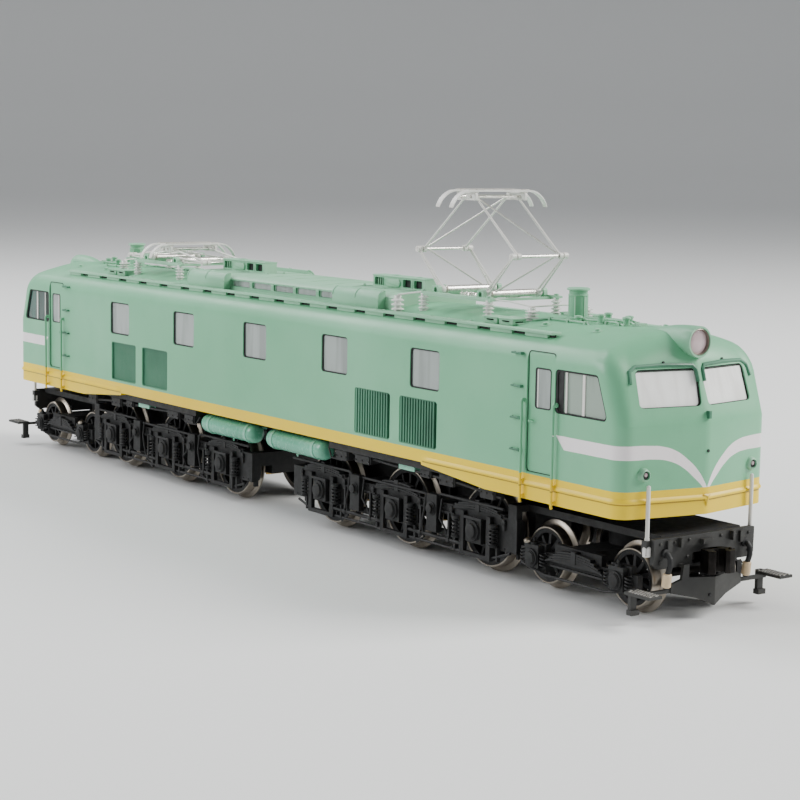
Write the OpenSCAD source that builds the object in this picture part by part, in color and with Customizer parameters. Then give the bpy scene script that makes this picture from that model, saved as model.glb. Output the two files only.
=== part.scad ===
// Model of a streamlined electric locomotive with two long truck units, two guiding
// trucks and two folding pantographs.
// Frame: +X to the front nose, +Y to the left, +Z up, z = 0 at the wheel flanges' lowest
// points. All sizes are in millimetres. Heights named *_h are above the rail head.

/* [Body] */
// Length of the body from nose ridge to nose ridge
body_length = 238; // [228:1:290]
// Width of the body over its side walls
body_width = 35; // [34:0.5:42]
// Thickness of the body's walls and roof
wall = 1.2; // [0.9:0.1:1.4]
// Height of the roof's centre line above the rail
crown_h = 47.8; // [47:0.1:58]
// Radius of the roof's arch
roof_radius = 42; // [38:1:60]
// Radius where the side walls turn into the roof
eaves_radius = 2.2; // [1.6:0.1:2.6]
// Height of the side walls' lower edge above the rail
skirt_h = 19.1; // [18.6:0.1:19.6]
// Height of the deep skirt's lower edge under the cabs
deep_skirt_h = 16.8; // [16.2:0.1:17.6]
// How far the nose ridge stands ahead of the nose corners
nose_depth = 3.1; // [2.4:0.1:4]
// Radius of the vertical nose corners
nose_corner = 2.4; // [1.8:0.1:3]
// Height of the crease where the nose starts to lean back
crease_h = 32.7; // [31:0.1:34]
// Backward lean of the upper nose in degrees
rake = 17.5; // [14:0.5:20]

/* [Windows and panels] */
// Width of each engine room window
window_w = 9.3; // [8:0.1:10]
// Height of the window sills above the rail
sill_h = 33.1; // [32:0.1:35]
// Height of each window opening
window_hgt = 7.7; // [6:0.1:8.2]
// Pitch of the engine room windows
window_pitch = 30.4; // [28:0.1:32]
// Clearance round each pane
pane_gap = 0.05; // [0.03:0.01:0.1]
// Height of the intake panels' lower edge above the rail
panel_h = 22; // [21.6:0.1:23]
// Height of each intake panel
panel_hgt = 9.2; // [7:0.1:9.6]
// Width of each intake panel
panel_w = 12; // [10:0.1:12.6]
// Distance from the middle of the body to the inner intake panels' centres
panel_x = 43.8; // [42:0.1:46]

/* [Wheels] */
// Tread diameter of the driving wheels
driver_d = 15.6; // [13:0.1:16]
// Tread diameter of the guiding wheels
guide_d = 10.75; // [9.6:0.05:11]
// Distance between the wheels' backs
back_to_back = 14.3; // [14.1:0.05:17.2]
// Width of each wheel with its flange
wheel_w = 2.9; // [2.6:0.05:3]
// Depth of the flanges below the tread
flange = 1; // [0.7:0.05:1.1]
// Diameter of the driving axles
axle_d = 2; // [1.8:0.1:2.4]
// Diameter of the guiding axles' end journals
journal_d = 1.2; // [1:0.1:1.4]
// Running clearance between each shaft and its bore, on the radius
run = 0.05; // [0.03:0.01:0.08]

/* [Running gear] */
// Distance from the middle of the locomotive to each unit's pivot and middle axle
unit_x = 46; // [45:0.5:47]
// Spacing of the driving axles
axle_pitch = 26; // [25:0.5:26.5]
// From the nose tip back to the pivot of the guiding truck
guide_setback = 18.6; // [18:0.1:19.4]
// Wheelbase of the guiding trucks
guide_base = 22.5; // [21.5:0.1:22.6]
// Radius of each unit's round bolster plate
bolster_r = 10; // [9.6:0.1:10.4]
// Height of the couplers' centre above the rail
coupler_h = 9.2; // [9:0.1:10]
// How far each coupler reaches past the nose tip
coupler_reach = 5.4; // [4.4:0.1:8]
// Distance between the two display stand screw holes
stand_pitch = 21; // [20:0.5:23]
// Radius of the display stand screw holes
stand_hole_r = 0.85; // [0.7:0.05:1.2]

/* [Drive] */
// Module of all gears
gear_module = 0.4; // [0.38:0.01:0.42]
// Teeth on each spur gear of the transfer towers
spur_teeth = 24; // [22:1:24]
// Teeth on each axle's worm wheel
worm_wheel_teeth = 20; // [18:1:20]
// Pitch diameter of the worms
worm_pd = 5.2; // [4.8:0.1:5.4]
// Diameter of the drive shafts
shaft_d = 1.5; // [1.2:0.1:1.6]
// Diameter of the motor's round body before its flats
motor_d = 15; // [14:0.5:15.5]
// Length of the motor's can
motor_len = 26; // [22:1:28]
// Diameter of the flywheels
flywheel_d = 12.4; // [10:0.2:12.8]

/* [Pantographs] */
// Distance from the middle of the body to each pantograph's centre
panto_x = 58.2; // [57:0.1:60]
// Height of the pantograph base shafts above the middle of the roof
panto_rise = 3.4; // [3.2:0.1:4.4]
// Half the distance between the two lower pivot shafts
panto_base_half = 7; // [6:0.1:8]
// Length of the lower arms between their pivots
lower_arm = 10.75; // [9.5:0.05:11]
// Length of the upper arms between their pivots
upper_arm = 17.05; // [16.4:0.05:17.6]
// Half the spacing of the two lower arms of a frame
arm_y = 6.36; // [5.8:0.02:6.8]
// Half length of the contact strips with their horns
horn_y = 12; // [10:0.1:13]
// Diameter of the arm tubes
tube_d = 0.7; // [0.5:0.05:0.9]

/* [Hidden] */
$fn = 32;
half_l = body_length / 2;
half_w = body_width / 2;
rail = flange;
skirt_z = rail + skirt_h;
deep_z = rail + deep_skirt_h;
crown_z = rail + crown_h;
crease_z = rail + crease_h;
sill_z = rail + sill_h;
panel_z = rail + panel_h;
roof_cz = crown_z - roof_radius;
guide_x = half_l - guide_setback;
eaves_y = half_w - eaves_radius;
eaves_z = roof_cz + sqrt(pow(roof_radius - eaves_radius, 2) - eaves_y * eaves_y);
eaves_a = atan2(eaves_z - roof_cz, eaves_y);
vee_a = atan2(nose_depth, half_w);
driver_r = driver_d / 2;
guide_r = guide_d / 2;
driver_z = rail + driver_r;
guide_z = rail + guide_r;
wheel_in = back_to_back / 2;
wheel_out = wheel_in + wheel_w;
unit_axles = [unit_x - axle_pitch, unit_x, unit_x + axle_pitch];
guide_axles = [guide_x - guide_base / 2, guide_x + guide_base / 2];
worm_z = driver_z + gear_module * worm_wheel_teeth / 2 + worm_pd / 2;
input_z = worm_z + gear_module * spur_teeth;
tip_gap = 0.05;
spur_x = unit_x + 6.25;
spur_w = 2.5;
tower_back = spur_x - spur_w / 2 - 0.3;
tower_front = spur_x + spur_w / 2 + 0.3;
plate_top = deep_z + 2.6;
plate_t = 2;
plate_z = plate_top - plate_t;
plate_half_l = half_l - 9;
screw_x = half_l - 15;
monitor_top = crown_z + 1.8;
monitor_side = crown_z + 1.1;
lamp_z = crown_z - 1.5;
lamp_x = half_l - (lamp_z - crease_z) * tan(rake) - 2.71;
board_y = 13.4;
board_in = 1.1;
board_out = 1;
low_box_x = panto_x + 12;
bolster_gap = 0.06;
shoulder_z = driver_z + driver_r + flange + 0.3;
coupler_z = rail + coupler_h;
beam_x = half_l - 1;
beam_t = 1;
beam_half = 12;
beam_top = rail + 13.5;
beam_bottom = rail + 8.2;
frame_y = wheel_out + 1.35;
frame_t = 1.2;
arm_z = crown_z + panto_rise;
raised_lower = 44.26;
folded_lower = 0;
raised_upper = 39.3;
folded_upper = 8;
shelf_z = guide_z + guide_r + flange + 0.7;
shelf_t = 1.3;
door_x = half_l - 27.9;
door_w = 7.4;
tank_notch_y = 12;
unit_low_x = unit_axles[0] - 11.5;
unit_high_x = unit_axles[2] + 11.4;
coupler_x = half_l - 2.6;

// ---- helpers ----

// Turns a sub-part modelled for the front end to the rear end
module at_end(end) {
  rotate([0, 0, end > 0 ? 0 : 180]) children();
}

// The same shape on both ends of the locomotive
module both_ends() {
  for (end = [1, -1]) at_end(end) children();
}

// The same shape on both sides
module both_sides() {
  children();
  mirror([0, 1, 0]) children();
}

// Round bar between two points
module rod(from, to, d) {
  v = to - from;
  len = norm(v);
  translate(from)
    rotate([0, acos(v[2] / len), atan2(v[1], v[0])])
      cylinder(h = len, d = d, $fn = 24);
}

// Cylinder along X that starts at x
module bar_x(x, y, z, len, r) {
  translate([x, y, z]) rotate([0, 90, 0]) cylinder(h = len, r = r);
}

// Cylinder along Y centred on y
module bar_y(x, y, z, len, r) {
  translate([x, y, z]) rotate([90, 0, 0]) cylinder(h = len, r = r, center = true);
}

// Block given by its low corner and its high corner
module block(low, high) {
  translate(low) cube(high - low);
}

// Points of an arc, from angle a to angle b in n steps
function arc(cx, cy, r, a, b, n) =
  [for (i = [0:n]) [cx + r * cos(a + (b - a) * i / n), cy + r * sin(a + (b - a) * i / n)]];

// ---- body outline ----

// Cross-section of the body, drawn inset by t, from the level z0 upwards
module section(t, z0) {
  polygon(concat(
    [[half_w - t, z0]],
    arc(eaves_y, eaves_z, eaves_radius - t, 0, eaves_a, 6),
    arc(0, roof_cz, roof_radius - t, eaves_a, 180 - eaves_a, 20),
    arc(-eaves_y, eaves_z, eaves_radius - t, 180 - eaves_a, 180, 6),
    [[t - half_w, z0]]
  ));
}

// Plan of the body with its vee noses and round corners, inset by t
function nose_plan(t) =
  let (r = nose_corner - t / 2,
       y = half_w - t - r,
       x = half_l - t - nose_depth * (y + r * sin(90 - vee_a)) / half_w - r * cos(vee_a) + r * 0.06)
  concat([[0, half_w - t]], arc(x, y, r, 90, vee_a, 5), [[half_l - t, 0]],
         [for (p = arc(x, y, r, vee_a, 90, 5)) [p[0], -p[1]]], [[0, t - half_w]]);

// Wedge that leans the upper half of one nose back, inset by t
module rake_cut(t) {
  for (side = [1, -1])
    translate([half_l - t, 0, crease_z])
      mirror([0, side < 0 ? 1 : 0, 0])
        rotate([0, 0, vee_a])
          rotate([0, -rake, 0])
            block([0, -10, -0.6], [20, 40, 30]);
}

// Round edge between the roof and the leaning nose, inset by t
module brow_profile(t) {
  r = 5;
  lean = 20;
  x = half_l - (crown_z - crease_z) * tan(rake) - 3.94;
  z = crown_z - r;
  foot = x + (r - t) * cos(lean) + (z + (r - t) * sin(lean) - crease_z) * tan(lean);
  translate([0, 60, 0])
    rotate([90, 0, 0])
      linear_extrude(height = 120)
        polygon(concat([[-foot - 10, 0], [foot + 10, 0], [foot + 10, crease_z], [foot, crease_z]],
                       arc(x, z, r - t, lean, 90, 8), arc(-x, z, r - t, 90, 180 - lean, 8),
                       [[-foot, crease_z], [-foot - 10, crease_z]]));
}

// Solid body form inset by t, starting at level z0
module body_form(t, z0) {
  difference() {
    intersection() {
      rotate([90, 0, 90])
        translate([0, 0, -half_l])
          linear_extrude(height = body_length) section(t, z0);
      union() {
        linear_extrude(height = crown_z + 10) polygon(nose_plan(t));
        rotate([0, 0, 180]) linear_extrude(height = crown_z + 10) polygon(nose_plan(t));
      }
      brow_profile(t);
    }
    both_ends() rake_cut(t);
  }
}

// Cut that leaves the deep skirts below the cabs and the shallow edge between them
module skirt_cut() {
  step_x = half_l - 58.8;
  ramp_x = half_l - 56.5;
  low_x = half_l - 39.4;
  translate([0, 40, 0])
    rotate([90, 0, 0])
      linear_extrude(height = 80)
        polygon([[-low_x, deep_z - 4], [low_x, deep_z - 4], [low_x, deep_z],
                 [ramp_x, skirt_z - 0.7], [step_x, skirt_z - 0.5], [step_x, skirt_z],
                 [-step_x, skirt_z], [-step_x, skirt_z - 0.5], [-ramp_x, skirt_z - 0.7],
                 [-low_x, deep_z]]);
}

// Outline of one cab side window with its leaning front edge, shrunk by t
module cab_window_plan(t) {
  back = half_l - 19.6;
  front = half_l - 6.7;
  lean = 2.7;
  top = sill_z + window_hgt;
  polygon([[back + t, sill_z + t], [front - t, sill_z + t],
           [front - lean - t, top - t], [back + t, top - t]]);
}

// Block that crosses one windscreen, shrunk by t, deep from inside to outside
module windscreen_block(t, inner, outer) {
  low = 3.1;
  high = 9.3;
  translate([half_l, 0, crease_z])
    rotate([0, 0, vee_a])
      rotate([0, -rake, 0])
        block([-outer, 1.1 + t, low + t], [-inner, 13.3 - t, high - t]);
}

// ---- body sub-parts ----

module body_shell() {
  color("#9cbfa9")
    union() {
      difference() {
        body_form(0, deep_z);
        body_form(wall, deep_z - 1);
        skirt_cut();
        for (i = [-2:2])
          block([i * window_pitch - window_w / 2, -half_w - 1, sill_z],
                [i * window_pitch + window_w / 2, half_w + 1, sill_z + window_hgt]);
        for (x = [panel_x, panel_x + 15.1], end = [1, -1])
          block([end * x - panel_w / 2, -half_w - 1, panel_z],
                [end * x + panel_w / 2, half_w + 1, panel_z + panel_hgt]);
        both_ends() both_sides() {
          block([door_x, half_w - 0.35, rail + 21.8], [door_x + door_w, half_w + 1, rail + 43.5]);
          block([door_x + 1.9, half_w - 3, sill_z + 0.2],
                [door_x + 6.2, half_w + 1, sill_z + window_hgt - 0.2]);
          translate([0, half_w + 1, 0])
            rotate([90, 0, 0]) linear_extrude(height = 4) cab_window_plan(0);
          windscreen_block(0, -3, 3);
        }
      }
      both_ends() both_sides() screw_boss();
    }
}

// Boss inside the wall that takes one body screw
module screw_boss() {
  difference() {
    block([screw_x - 2, half_w - wall - 3.6, plate_top], [screw_x + 2, half_w - wall, plate_top + 5]);
    translate([screw_x, half_w - wall - 2, plate_top - 1]) cylinder(h = 5, r = 0.85);
  }
}

module body_screws() {
  color("#8a8a88")
    both_ends() both_sides() translate([screw_x, half_w - wall - 2, 0]) {
      difference() {
        translate([0, 0, plate_z - 0.8]) cylinder(h = 0.8, r = 1.5);
        block([-2, -0.2, plate_z - 1], [2, 0.2, plate_z - 0.45]);
      }
      translate([0, 0, plate_z]) cylinder(h = plate_t + 3.2, r = 0.8);
    }
}

// One flat pane seated in its opening, with a flange behind the wall
module side_pane(x, w, z, hgt) {
  lip = 0.6;
  both_sides() {
    block([x - w / 2 + pane_gap, half_w - wall, z + pane_gap],
          [x + w / 2 - pane_gap, half_w - 0.4, z + hgt - pane_gap]);
    block([x - w / 2 - lip, half_w - wall - 0.6, z - lip],
          [x + w / 2 + lip, half_w - wall, z + hgt + lip]);
  }
}

module side_glazing() {
  color("#cfcfd6") {
    for (i = [-2:2]) side_pane(i * window_pitch, window_w, sill_z, window_hgt);
    for (end = [1, -1])
      side_pane(end * (door_x + 4.05), 4.3, sill_z + 0.2, window_hgt - 0.4);
  }
}

module cab_glazing() {
  color("#d9d6df")
    both_ends() both_sides() {
      translate([0, half_w - 0.5, 0])
        rotate([90, 0, 0]) linear_extrude(height = wall - 0.5) cab_window_plan(pane_gap);
      translate([0, half_w - wall, 0])
        rotate([90, 0, 0]) linear_extrude(height = 0.5) cab_window_plan(-0.4);
      windscreen_block(pane_gap, 0.45, wall);
      windscreen_block(-0.4, wall * cos(rake) * cos(vee_a), wall + 0.4);
    }
}

// Intake panel with upright slats near the front and a plain fine filter near the rear
module intake_panels() {
  slat = 0.35;
  count = 14;
  color("#6f9f88")
    for (x = [panel_x, panel_x + 15.1], end = [1, -1]) both_sides() {
      block([end * x - panel_w / 2 + pane_gap, half_w - wall + 0.05, panel_z + pane_gap],
            [end * x + panel_w / 2 - pane_gap, half_w - 0.5, panel_z + panel_hgt - pane_gap]);
      block([end * x - panel_w / 2 - 0.5, half_w - wall - 0.6, panel_z - 0.5],
            [end * x + panel_w / 2 + 0.5, half_w - wall, panel_z + panel_hgt + 0.5]);
      if (end > 0)
        for (i = [0:count - 1])
          translate([x - panel_w / 2 + (i + 0.5) * panel_w / count, half_w - 0.5, panel_z + 0.3])
            block([-slat / 2, -0.01, 0], [slat / 2, 0.45, panel_hgt - 0.6]);
    }
}

// Height of the roof's surface at a distance y from the middle
function roof_at(y) = roof_cz + sqrt(roof_radius * roof_radius - y * y);

module roof_monitor() {
  half = 41;
  y = 10.3;
  pitch = 8.8;
  color("#9cbfa9")
    difference() {
      rotate([90, 0, 90])
        translate([0, 0, -half])
          linear_extrude(height = 2 * half)
            polygon(concat([[y, roof_at(y) + 0.02], [y, monitor_side], [y - 1.2, monitor_top - 0.15],
                            [0, monitor_top + 0.2], [1.2 - y, monitor_top - 0.15],
                            [-y, monitor_side], [-y, roof_at(y) + 0.02]],
                           arc(0, roof_cz, roof_radius + 0.02, 90 + asin(y / roof_radius),
                               90 - asin(y / roof_radius), 12)));
      both_sides()
        for (i = [-2:2])
          block([i * pitch - 3.9, y - 0.5, roof_at(y) + 0.7],
                [i * pitch + 3.9, y + 1, monitor_side - 0.3]);
    }
}

// Box with dark square mouths on its long sides
module vent_box(low, high, mouths, w) {
  difference() {
    block(low, high);
    for (x = mouths, side = [0, 1])
      translate([x, side == 0 ? low[1] : high[1], 0])
        block([-w / 2, -0.5, low[2] + 0.5], [w / 2, 0.5, high[2] - 0.5]);
  }
}

module roof_vents() {
  hood_y = 10.35;
  hood_r = board_y - board_in - hood_y - 0.08;
  hood_top = monitor_top + 0.6;
  box_far = panto_x - panto_base_half - lower_arm - 1;
  box_near = box_far - 18.2;
  mid_x = (box_far + box_near) / 2;
  color("#9cbfa9") {
    for (c = [-mid_x, mid_x])
      vent_box([c - mid_x + box_near, -1.6, monitor_top + 0.22], [c - mid_x + box_far, 1.6, crown_z + 4.4],
               [c - 7, c + 2.4, c + 6.2], 2.9);
    both_ends() both_sides() {
      translate([21.5, 0, 0])
        rotate([90, 0, 90])
          linear_extrude(height = 16.5)
            polygon(concat([[hood_y, roof_at(hood_y) + 0.05], [hood_y, hood_top]],
                           arc(hood_y, hood_top - hood_r, hood_r, 85, 10, 6),
                           [[hood_y + hood_r, roof_at(hood_y) + 0.05]]));
      vent_box([low_box_x, 8, roof_at(8) + 0.05], [low_box_x + 8.8, 11, crown_z + 0.2],
               [low_box_x + 1.8, low_box_x + 6.8], 2);
    }
  }
}

// Walkway plank along each side of the roof, on short posts
module running_boards() {
  half = half_l - 25;
  y = board_y;
  z = roof_at(y) + 0.55;
  color("#9cbfa9")
    both_sides() {
      block([-half, y - board_in, z], [half, y + board_out, z + 0.45]);
      for (i = [ceil(-half / 10) : floor(half / 10) + 1])
        block([(i - 0.5) * 10 - 2.9, y - 0.7, roof_at(y - 0.7) + 0.02],
              [(i - 0.5) * 10 + 2.9, y + 0.6, z]);
    }
}

module roof_fittings() {
  can_x = half_l - 34.7;
  color("#9cbfa9")
    both_ends()
      difference() {
        union() {
          translate([can_x, 0, crown_z - 0.6]) {
            cylinder(h = 5.8, r = 1.75);
            translate([0, 0, 5.8]) cylinder(h = 0.5, r = 2.15);
          }
          for (p = [[5.7, 2.4], [9.2, -2.6], [12.2, 1.6], [14.7, -1.4]])
            translate([can_x + p[0], p[1], crown_z - 0.8]) cylinder(h = 2, r = 0.75);
          for (y = [-2.6, 1.6])
            block([can_x + 3.7, y - 0.35, crown_z - 0.8], [can_x + 15.3, y + 0.35, crown_z + 0.75]);
          for (y = [-4.2, 4.2])
            block([can_x - 3.3, y - 0.4, crown_z - 0.8], [can_x + 7.7, y + 0.4, crown_z + 0.35]);
        }
        body_form(-0.02, deep_z);
      }
}

// Ribbed insulator at x, y, that reaches down into the roof's outline from the level top
module insulator(x, y, top) {
  translate([x, y, 0]) {
    translate([0, 0, roof_at(abs(y)) - 1]) cylinder(h = top - roof_at(abs(y)) + 1, r = 0.55);
    for (z = [top - 0.9, top - 1.9, top - 2.9])
      translate([0, 0, z]) cylinder(h = 0.45, r = 1.05);
  }
}

module roof_insulators() {
  top = arm_z - 0.9;
  color("#f0f0ee")
    both_ends()
      difference() {
        union() {
          for (x = [-10.2, 10.2], y = [-8.4, 8.4]) insulator(panto_x + x, y, top);
          for (p = [[-15.3, -11], [20.3, -6.2], [21.5, 6.1]])
            insulator(panto_x + p[0], p[1], monitor_top);
        }
        body_form(-0.02, deep_z);
      }
}

// Round lamp housing whose fairing runs back into the roof
module headlight_housings() {
  lamp_r = 2.75;
  color("#9cbfa9")
    both_ends()
      difference() {
        union() {
          bar_x(lamp_x, 0, lamp_z, 4.2, lamp_r);
          translate([lamp_x - 8.5, 0, lamp_z + 0.5])
            rotate([0, 90, 0]) cylinder(h = 8.6, r1 = 1.1, r2 = 2.2);
        }
        bar_x(lamp_x + 3, 0, lamp_z, 2, lamp_r - 0.45);
        body_form(-0.02, deep_z);
      }
}

module headlight_lenses() {
  color("#e6dcd6")
    both_ends()
      difference() {
        bar_x(lamp_x + 3.02, 0, lamp_z, 0.75, 2.25);
        body_form(-0.02, deep_z);
      }
}

// Round marker lamps low on the nose
module marker_lamps() {
  y = 12.84;
  z = rail + 24.3;
  face_x = half_l - nose_depth * y / half_w;
  color("#7d9a88")
    both_ends() both_sides()
      difference() {
        union() {
          bar_x(face_x - 2.73, y, z, 3.05, 0.95);
          bar_x(face_x + 0.32, y, z, 0.25, 0.6);
        }
        body_form(-0.02, deep_z);
      }
}

// Grab rails beside the cab doors and ladder rungs behind them
module rails_and_steps() {
  y = half_w + 0.75;
  color("#8fae9b")
    both_ends() both_sides() {
      for (x = [door_x - 0.5, door_x + 8.1]) {
        rod([x, y, deep_z - 0.6], [x, y, rail + 34.9], 0.5);
        for (z = [deep_z + 0.6, rail + 34.5])
          rod([x, y, z], [x, half_w + 0.02, z], 0.4);
      }
      for (z = [25.25, 31, 36.7, 42.6])
        block([door_x - 3.9, half_w + 0.02, rail + z], [door_x - 1.2, half_w + 0.7, rail + z + 0.35]);
    }
}

// Air tanks under the side walls, with straps, and the sand boxes near the ramps
module air_tanks() {
  y = 14.6;
  r = 2.1;
  z = rail + 16.25;
  color("#9cbfa9")
    both_ends() both_sides() {
      bar_x(3.5, y, z, 20.3, r);
      bar_x(2.6, y, z, 0.9, r - 0.5);
      bar_x(23.8, y, z, 0.9, r - 0.5);
      for (x = [5.6, 20.8]) {
        bar_x(x, y, z, 0.7, r + 0.15);
        block([x, tank_notch_y - 1, z + r - 1], [x + 0.7, y - 1.7, plate_z]);
      }
      block([50.2, 13.6, rail + 16.2], [55.4, 15.4, plate_z]);
    }
}

// ---- chassis, motor and drive ----

module chassis_plate() {
  color("#3a3b3d")
    difference() {
      block([-plate_half_l, wall + 0.1 - half_w, plate_z], [plate_half_l, half_w - wall - 0.1, plate_top]);
      block([-25, -8.2, plate_z - 1], [25, 8.2, plate_top + 1]);
      both_sides() block([-27, tank_notch_y, plate_z - 1], [27, half_w, plate_top + 1]);
      for (y = [-stand_pitch / 2, stand_pitch / 2])
        translate([0, y, plate_z - 1]) cylinder(h = plate_t + 2, r = stand_hole_r);
      both_ends() {
        translate([unit_x, 0, plate_z - 1]) cylinder(h = plate_t + 2, r = bolster_r + bolster_gap, $fn = 64);
        both_sides()
          translate([screw_x, half_w - wall - 2, plate_z - 1]) cylinder(h = plate_t + 2, r = 0.95);
      }
    }
}

module ballast_weights() {
  color("#77787a")
    both_ends() block([unit_x + 16, -11, plate_top], [half_l - 23, 11, plate_top + 9]);
}

module circuit_board() {
  z = rail + 39;
  color("#2f6b47") {
    block([-34, -9, z], [34, 9, z + 1]);
    for (x = [-30, 30], y = [-7, 7])
      block([x - 1, y - 1, plate_top], [x + 1, y + 1, z]);
    for (x = [-20, 20]) block([x - 4, -3, z + 1], [x + 4, 3, z + 2.6]);
  }
}

module motor_housing() {
  half = motor_len / 2;
  flat = motor_d * 0.4;
  color("#b9bcbf")
    difference() {
      union() {
        intersection() {
          bar_x(-half, 0, input_z, motor_len, motor_d / 2);
          block([-half, -motor_d, input_z - flat], [half, motor_d, input_z + flat]);
        }
        for (x = [-half + 2, half - 4])
          both_sides() block([x, motor_d / 2 - 1.4, plate_top], [x + 2, 11, plate_top + 2]);
      }
      bar_x(-half + 1.2, 0, input_z, motor_len - 2.4, 5.3);
      bar_x(-half - 1, 0, input_z, motor_len + 2, shaft_d / 2 + run);
    }
}

// Motor shaft with its armature, commutator, flywheels and drive cups
module motor_rotor() {
  half = motor_len / 2;
  cup_x = half + 8.9;
  color("#8c6a3f")
    difference() {
      union() {
        bar_x(-cup_x, 0, input_z, 2 * cup_x, shaft_d / 2);
        bar_x(-8, 0, input_z, 14, 5);
        bar_x(7, 0, input_z, 4, 2);
        for (end = [1, -1]) at_end(end) {
          bar_x(half + 0.6, 0, input_z, 7, flywheel_d / 2);
          bar_x(half + 7.5, 0, input_z, 3.6, 2.3);
        }
      }
      for (i = [0:4])
        translate([0, 0, input_z])
          rotate([i * 72, 0, 0]) block([-8.1, -0.45, 2.2], [6.1, 0.45, 6]);
      both_ends() {
        bar_x(half + 9, 0, input_z, 3, 1.6);
        block([half + 9.2, -3, input_z - 0.6], [half + 12, 3, input_z + 0.6]);
      }
    }
}

// Cardan shaft with ball ends and cross pins between flywheel and tower
module cardan(end) {
  from = motor_len / 2 + 10.3;
  to = unit_x - 6.7;
  color("#2a2a2c")
    at_end(end) {
      bar_x(from, 0, input_z, to - from, 0.6);
      for (x = [from, to]) {
        translate([x, 0, input_z]) sphere(r = 1, $fn = 24);
        bar_y(x, 0, input_z, 3.6, 0.3);
      }
    }
}

// Spur gear along X with straight-sided teeth, its first tooth at angle phase
module spur_gear(x, z, teeth, w, phase) {
  pr = gear_module * teeth / 2;
  root = pr - gear_module * 1.2;
  tip = pr + gear_module * 0.85;
  step = 360 / teeth;
  translate([x - w / 2, 0, z])
    rotate([90, 0, 90])
      rotate([0, 0, phase])
        linear_extrude(height = w)
          polygon([for (i = [0:teeth - 1])
                   for (k = [[root, -0.28], [tip, -0.1], [tip, 0.1], [root, 0.28]])
                     [k[0] * cos((i + k[1]) * step), k[0] * sin((i + k[1]) * step)]]);
}

// Upper shaft of a transfer tower with its drive cup and spur gear
module input_shaft(end) {
  cup = unit_x - 7;
  color("#b08d57")
    at_end(end)
      difference() {
        union() {
          bar_x(cup + 1, 0, input_z, unit_x + 8.8 - cup - 1, shaft_d / 2);
          bar_x(cup, 0, input_z, 3, 2.3);
          spur_gear(spur_x, input_z, spur_teeth, spur_w, -90);
        }
        bar_x(cup - 1, 0, input_z, 2.6, 1.6);
        block([cup - 1, -3, input_z - 0.6], [cup + 1.6, 3, input_z + 0.6]);
      }
}

// Long lower shaft of a unit with three worms and the driven spur gear
module worm_shaft(end) {
  tip = worm_pd / 2 - tip_gap;
  ring = gear_module * PI;
  color("#b08d57")
    at_end(end) {
      bar_x(unit_axles[0] - 6.4, 0, worm_z, 2 * axle_pitch + 12.8, shaft_d / 2);
      for (x = unit_axles) {
        bar_x(x - 3.2, 0, worm_z, 6.4, tip - 0.75);
        for (i = [-2:2])
          translate([x + i * ring, 0, worm_z])
            rotate([0, 90, 0])
              rotate_extrude() polygon([[tip - 1, -0.45], [tip, -0.18], [tip, 0.18], [tip - 1, 0.45]]);
      }
      spur_gear(spur_x, worm_z, spur_teeth, spur_w, 90 + 180 / spur_teeth);
    }
}

// Central gear case of a unit with its bolster plate and transfer tower
module gearbox(end) {
  half_y = 4.5;
  low = unit_axles[0] - 7;
  high = unit_axles[2] + 7;
  color("#303134")
    at_end(end)
      difference() {
        union() {
          block([low, -half_y, driver_z - 2.6], [high, half_y, shoulder_z + 0.2]);
          block([tower_back - 1.3, -6.3, driver_z + 0.8], [tower_front + 1.3, 6.3, shoulder_z + 0.2]);
          translate([unit_x, 0, shoulder_z]) cylinder(h = plate_top - shoulder_z, r = bolster_r, $fn = 64);
          intersection() {
            block([tower_back - 1.3, -6.5, plate_top - 1], [tower_front + 1.3, 6.5, input_z + 6.4]);
            translate([unit_x, 0, plate_top - 1]) cylinder(h = 20, r = bolster_r - 0.2, $fn = 64);
          }
        }
        for (x = unit_axles) {
          bar_y(x, 0, driver_z, 20, axle_d / 2 + run);
          bar_y(x, 0, driver_z, 4.4, 4.8);
          block([x - 4.8, -2.2, 0], [x + 4.8, 2.2, driver_z]);
          bar_x(x - 4, 0, worm_z, 8, worm_pd / 2 + 0.5);
        }
        bar_x(low - 1, 0, worm_z, high - low + 2, shaft_d / 2 + run);
        bar_x(unit_x - 10, 0, input_z, 20, shaft_d / 2 + run);
        block([tower_back, -5.45, worm_z - 5.5], [tower_front, 5.45, input_z + 5.6]);
      }
}

// ---- wheelsets ----

// One wheel on the left side with spokes, tread radius r
module wheel(r, spokes, hub) {
  rim = 1.1;
  difference() {
    union() {
      translate([0, wheel_in + 0.75, 0]) rotate([-90, 0, 0]) cylinder(h = wheel_w - 0.75, r = r, $fn = 64);
      translate([0, wheel_in + 0.15, 0]) rotate([-90, 0, 0]) cylinder(h = 0.6, r = r + flange, $fn = 64);
      translate([0, wheel_in, 0]) rotate([-90, 0, 0]) cylinder(h = 0.2, r = r - 0.1, $fn = 64);
    }
    translate([0, wheel_in - 1, 0]) rotate([-90, 0, 0]) cylinder(h = wheel_w + 2, r = r - rim, $fn = 64);
  }
  for (i = [0:spokes - 1])
    rotate([0, i * 360 / spokes, 0])
      block([-0.35, wheel_in + 0.8, hub - 0.4], [0.35, wheel_out - 0.6, r - rim + 0.3]);
  translate([0, wheel_in, 0]) rotate([-90, 0, 0]) cylinder(h = wheel_w, r = hub);
}

// Teeth of a worm wheel round the middle of a driving axle
module worm_wheel() {
  pr = gear_module * worm_wheel_teeth / 2;
  step = 360 / worm_wheel_teeth;
  rotate([90, 0, 0])
    translate([0, 0, -1.6])
      linear_extrude(height = 3.2)
        polygon([for (i = [0:worm_wheel_teeth - 1])
                 for (k = [[pr - 0.7, -0.3], [pr, -0.12], [pr, 0.12], [pr - 0.7, 0.3]])
                   [k[0] * cos((i + k[1]) * step), k[0] * sin((i + k[1]) * step)]]);
}

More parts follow.
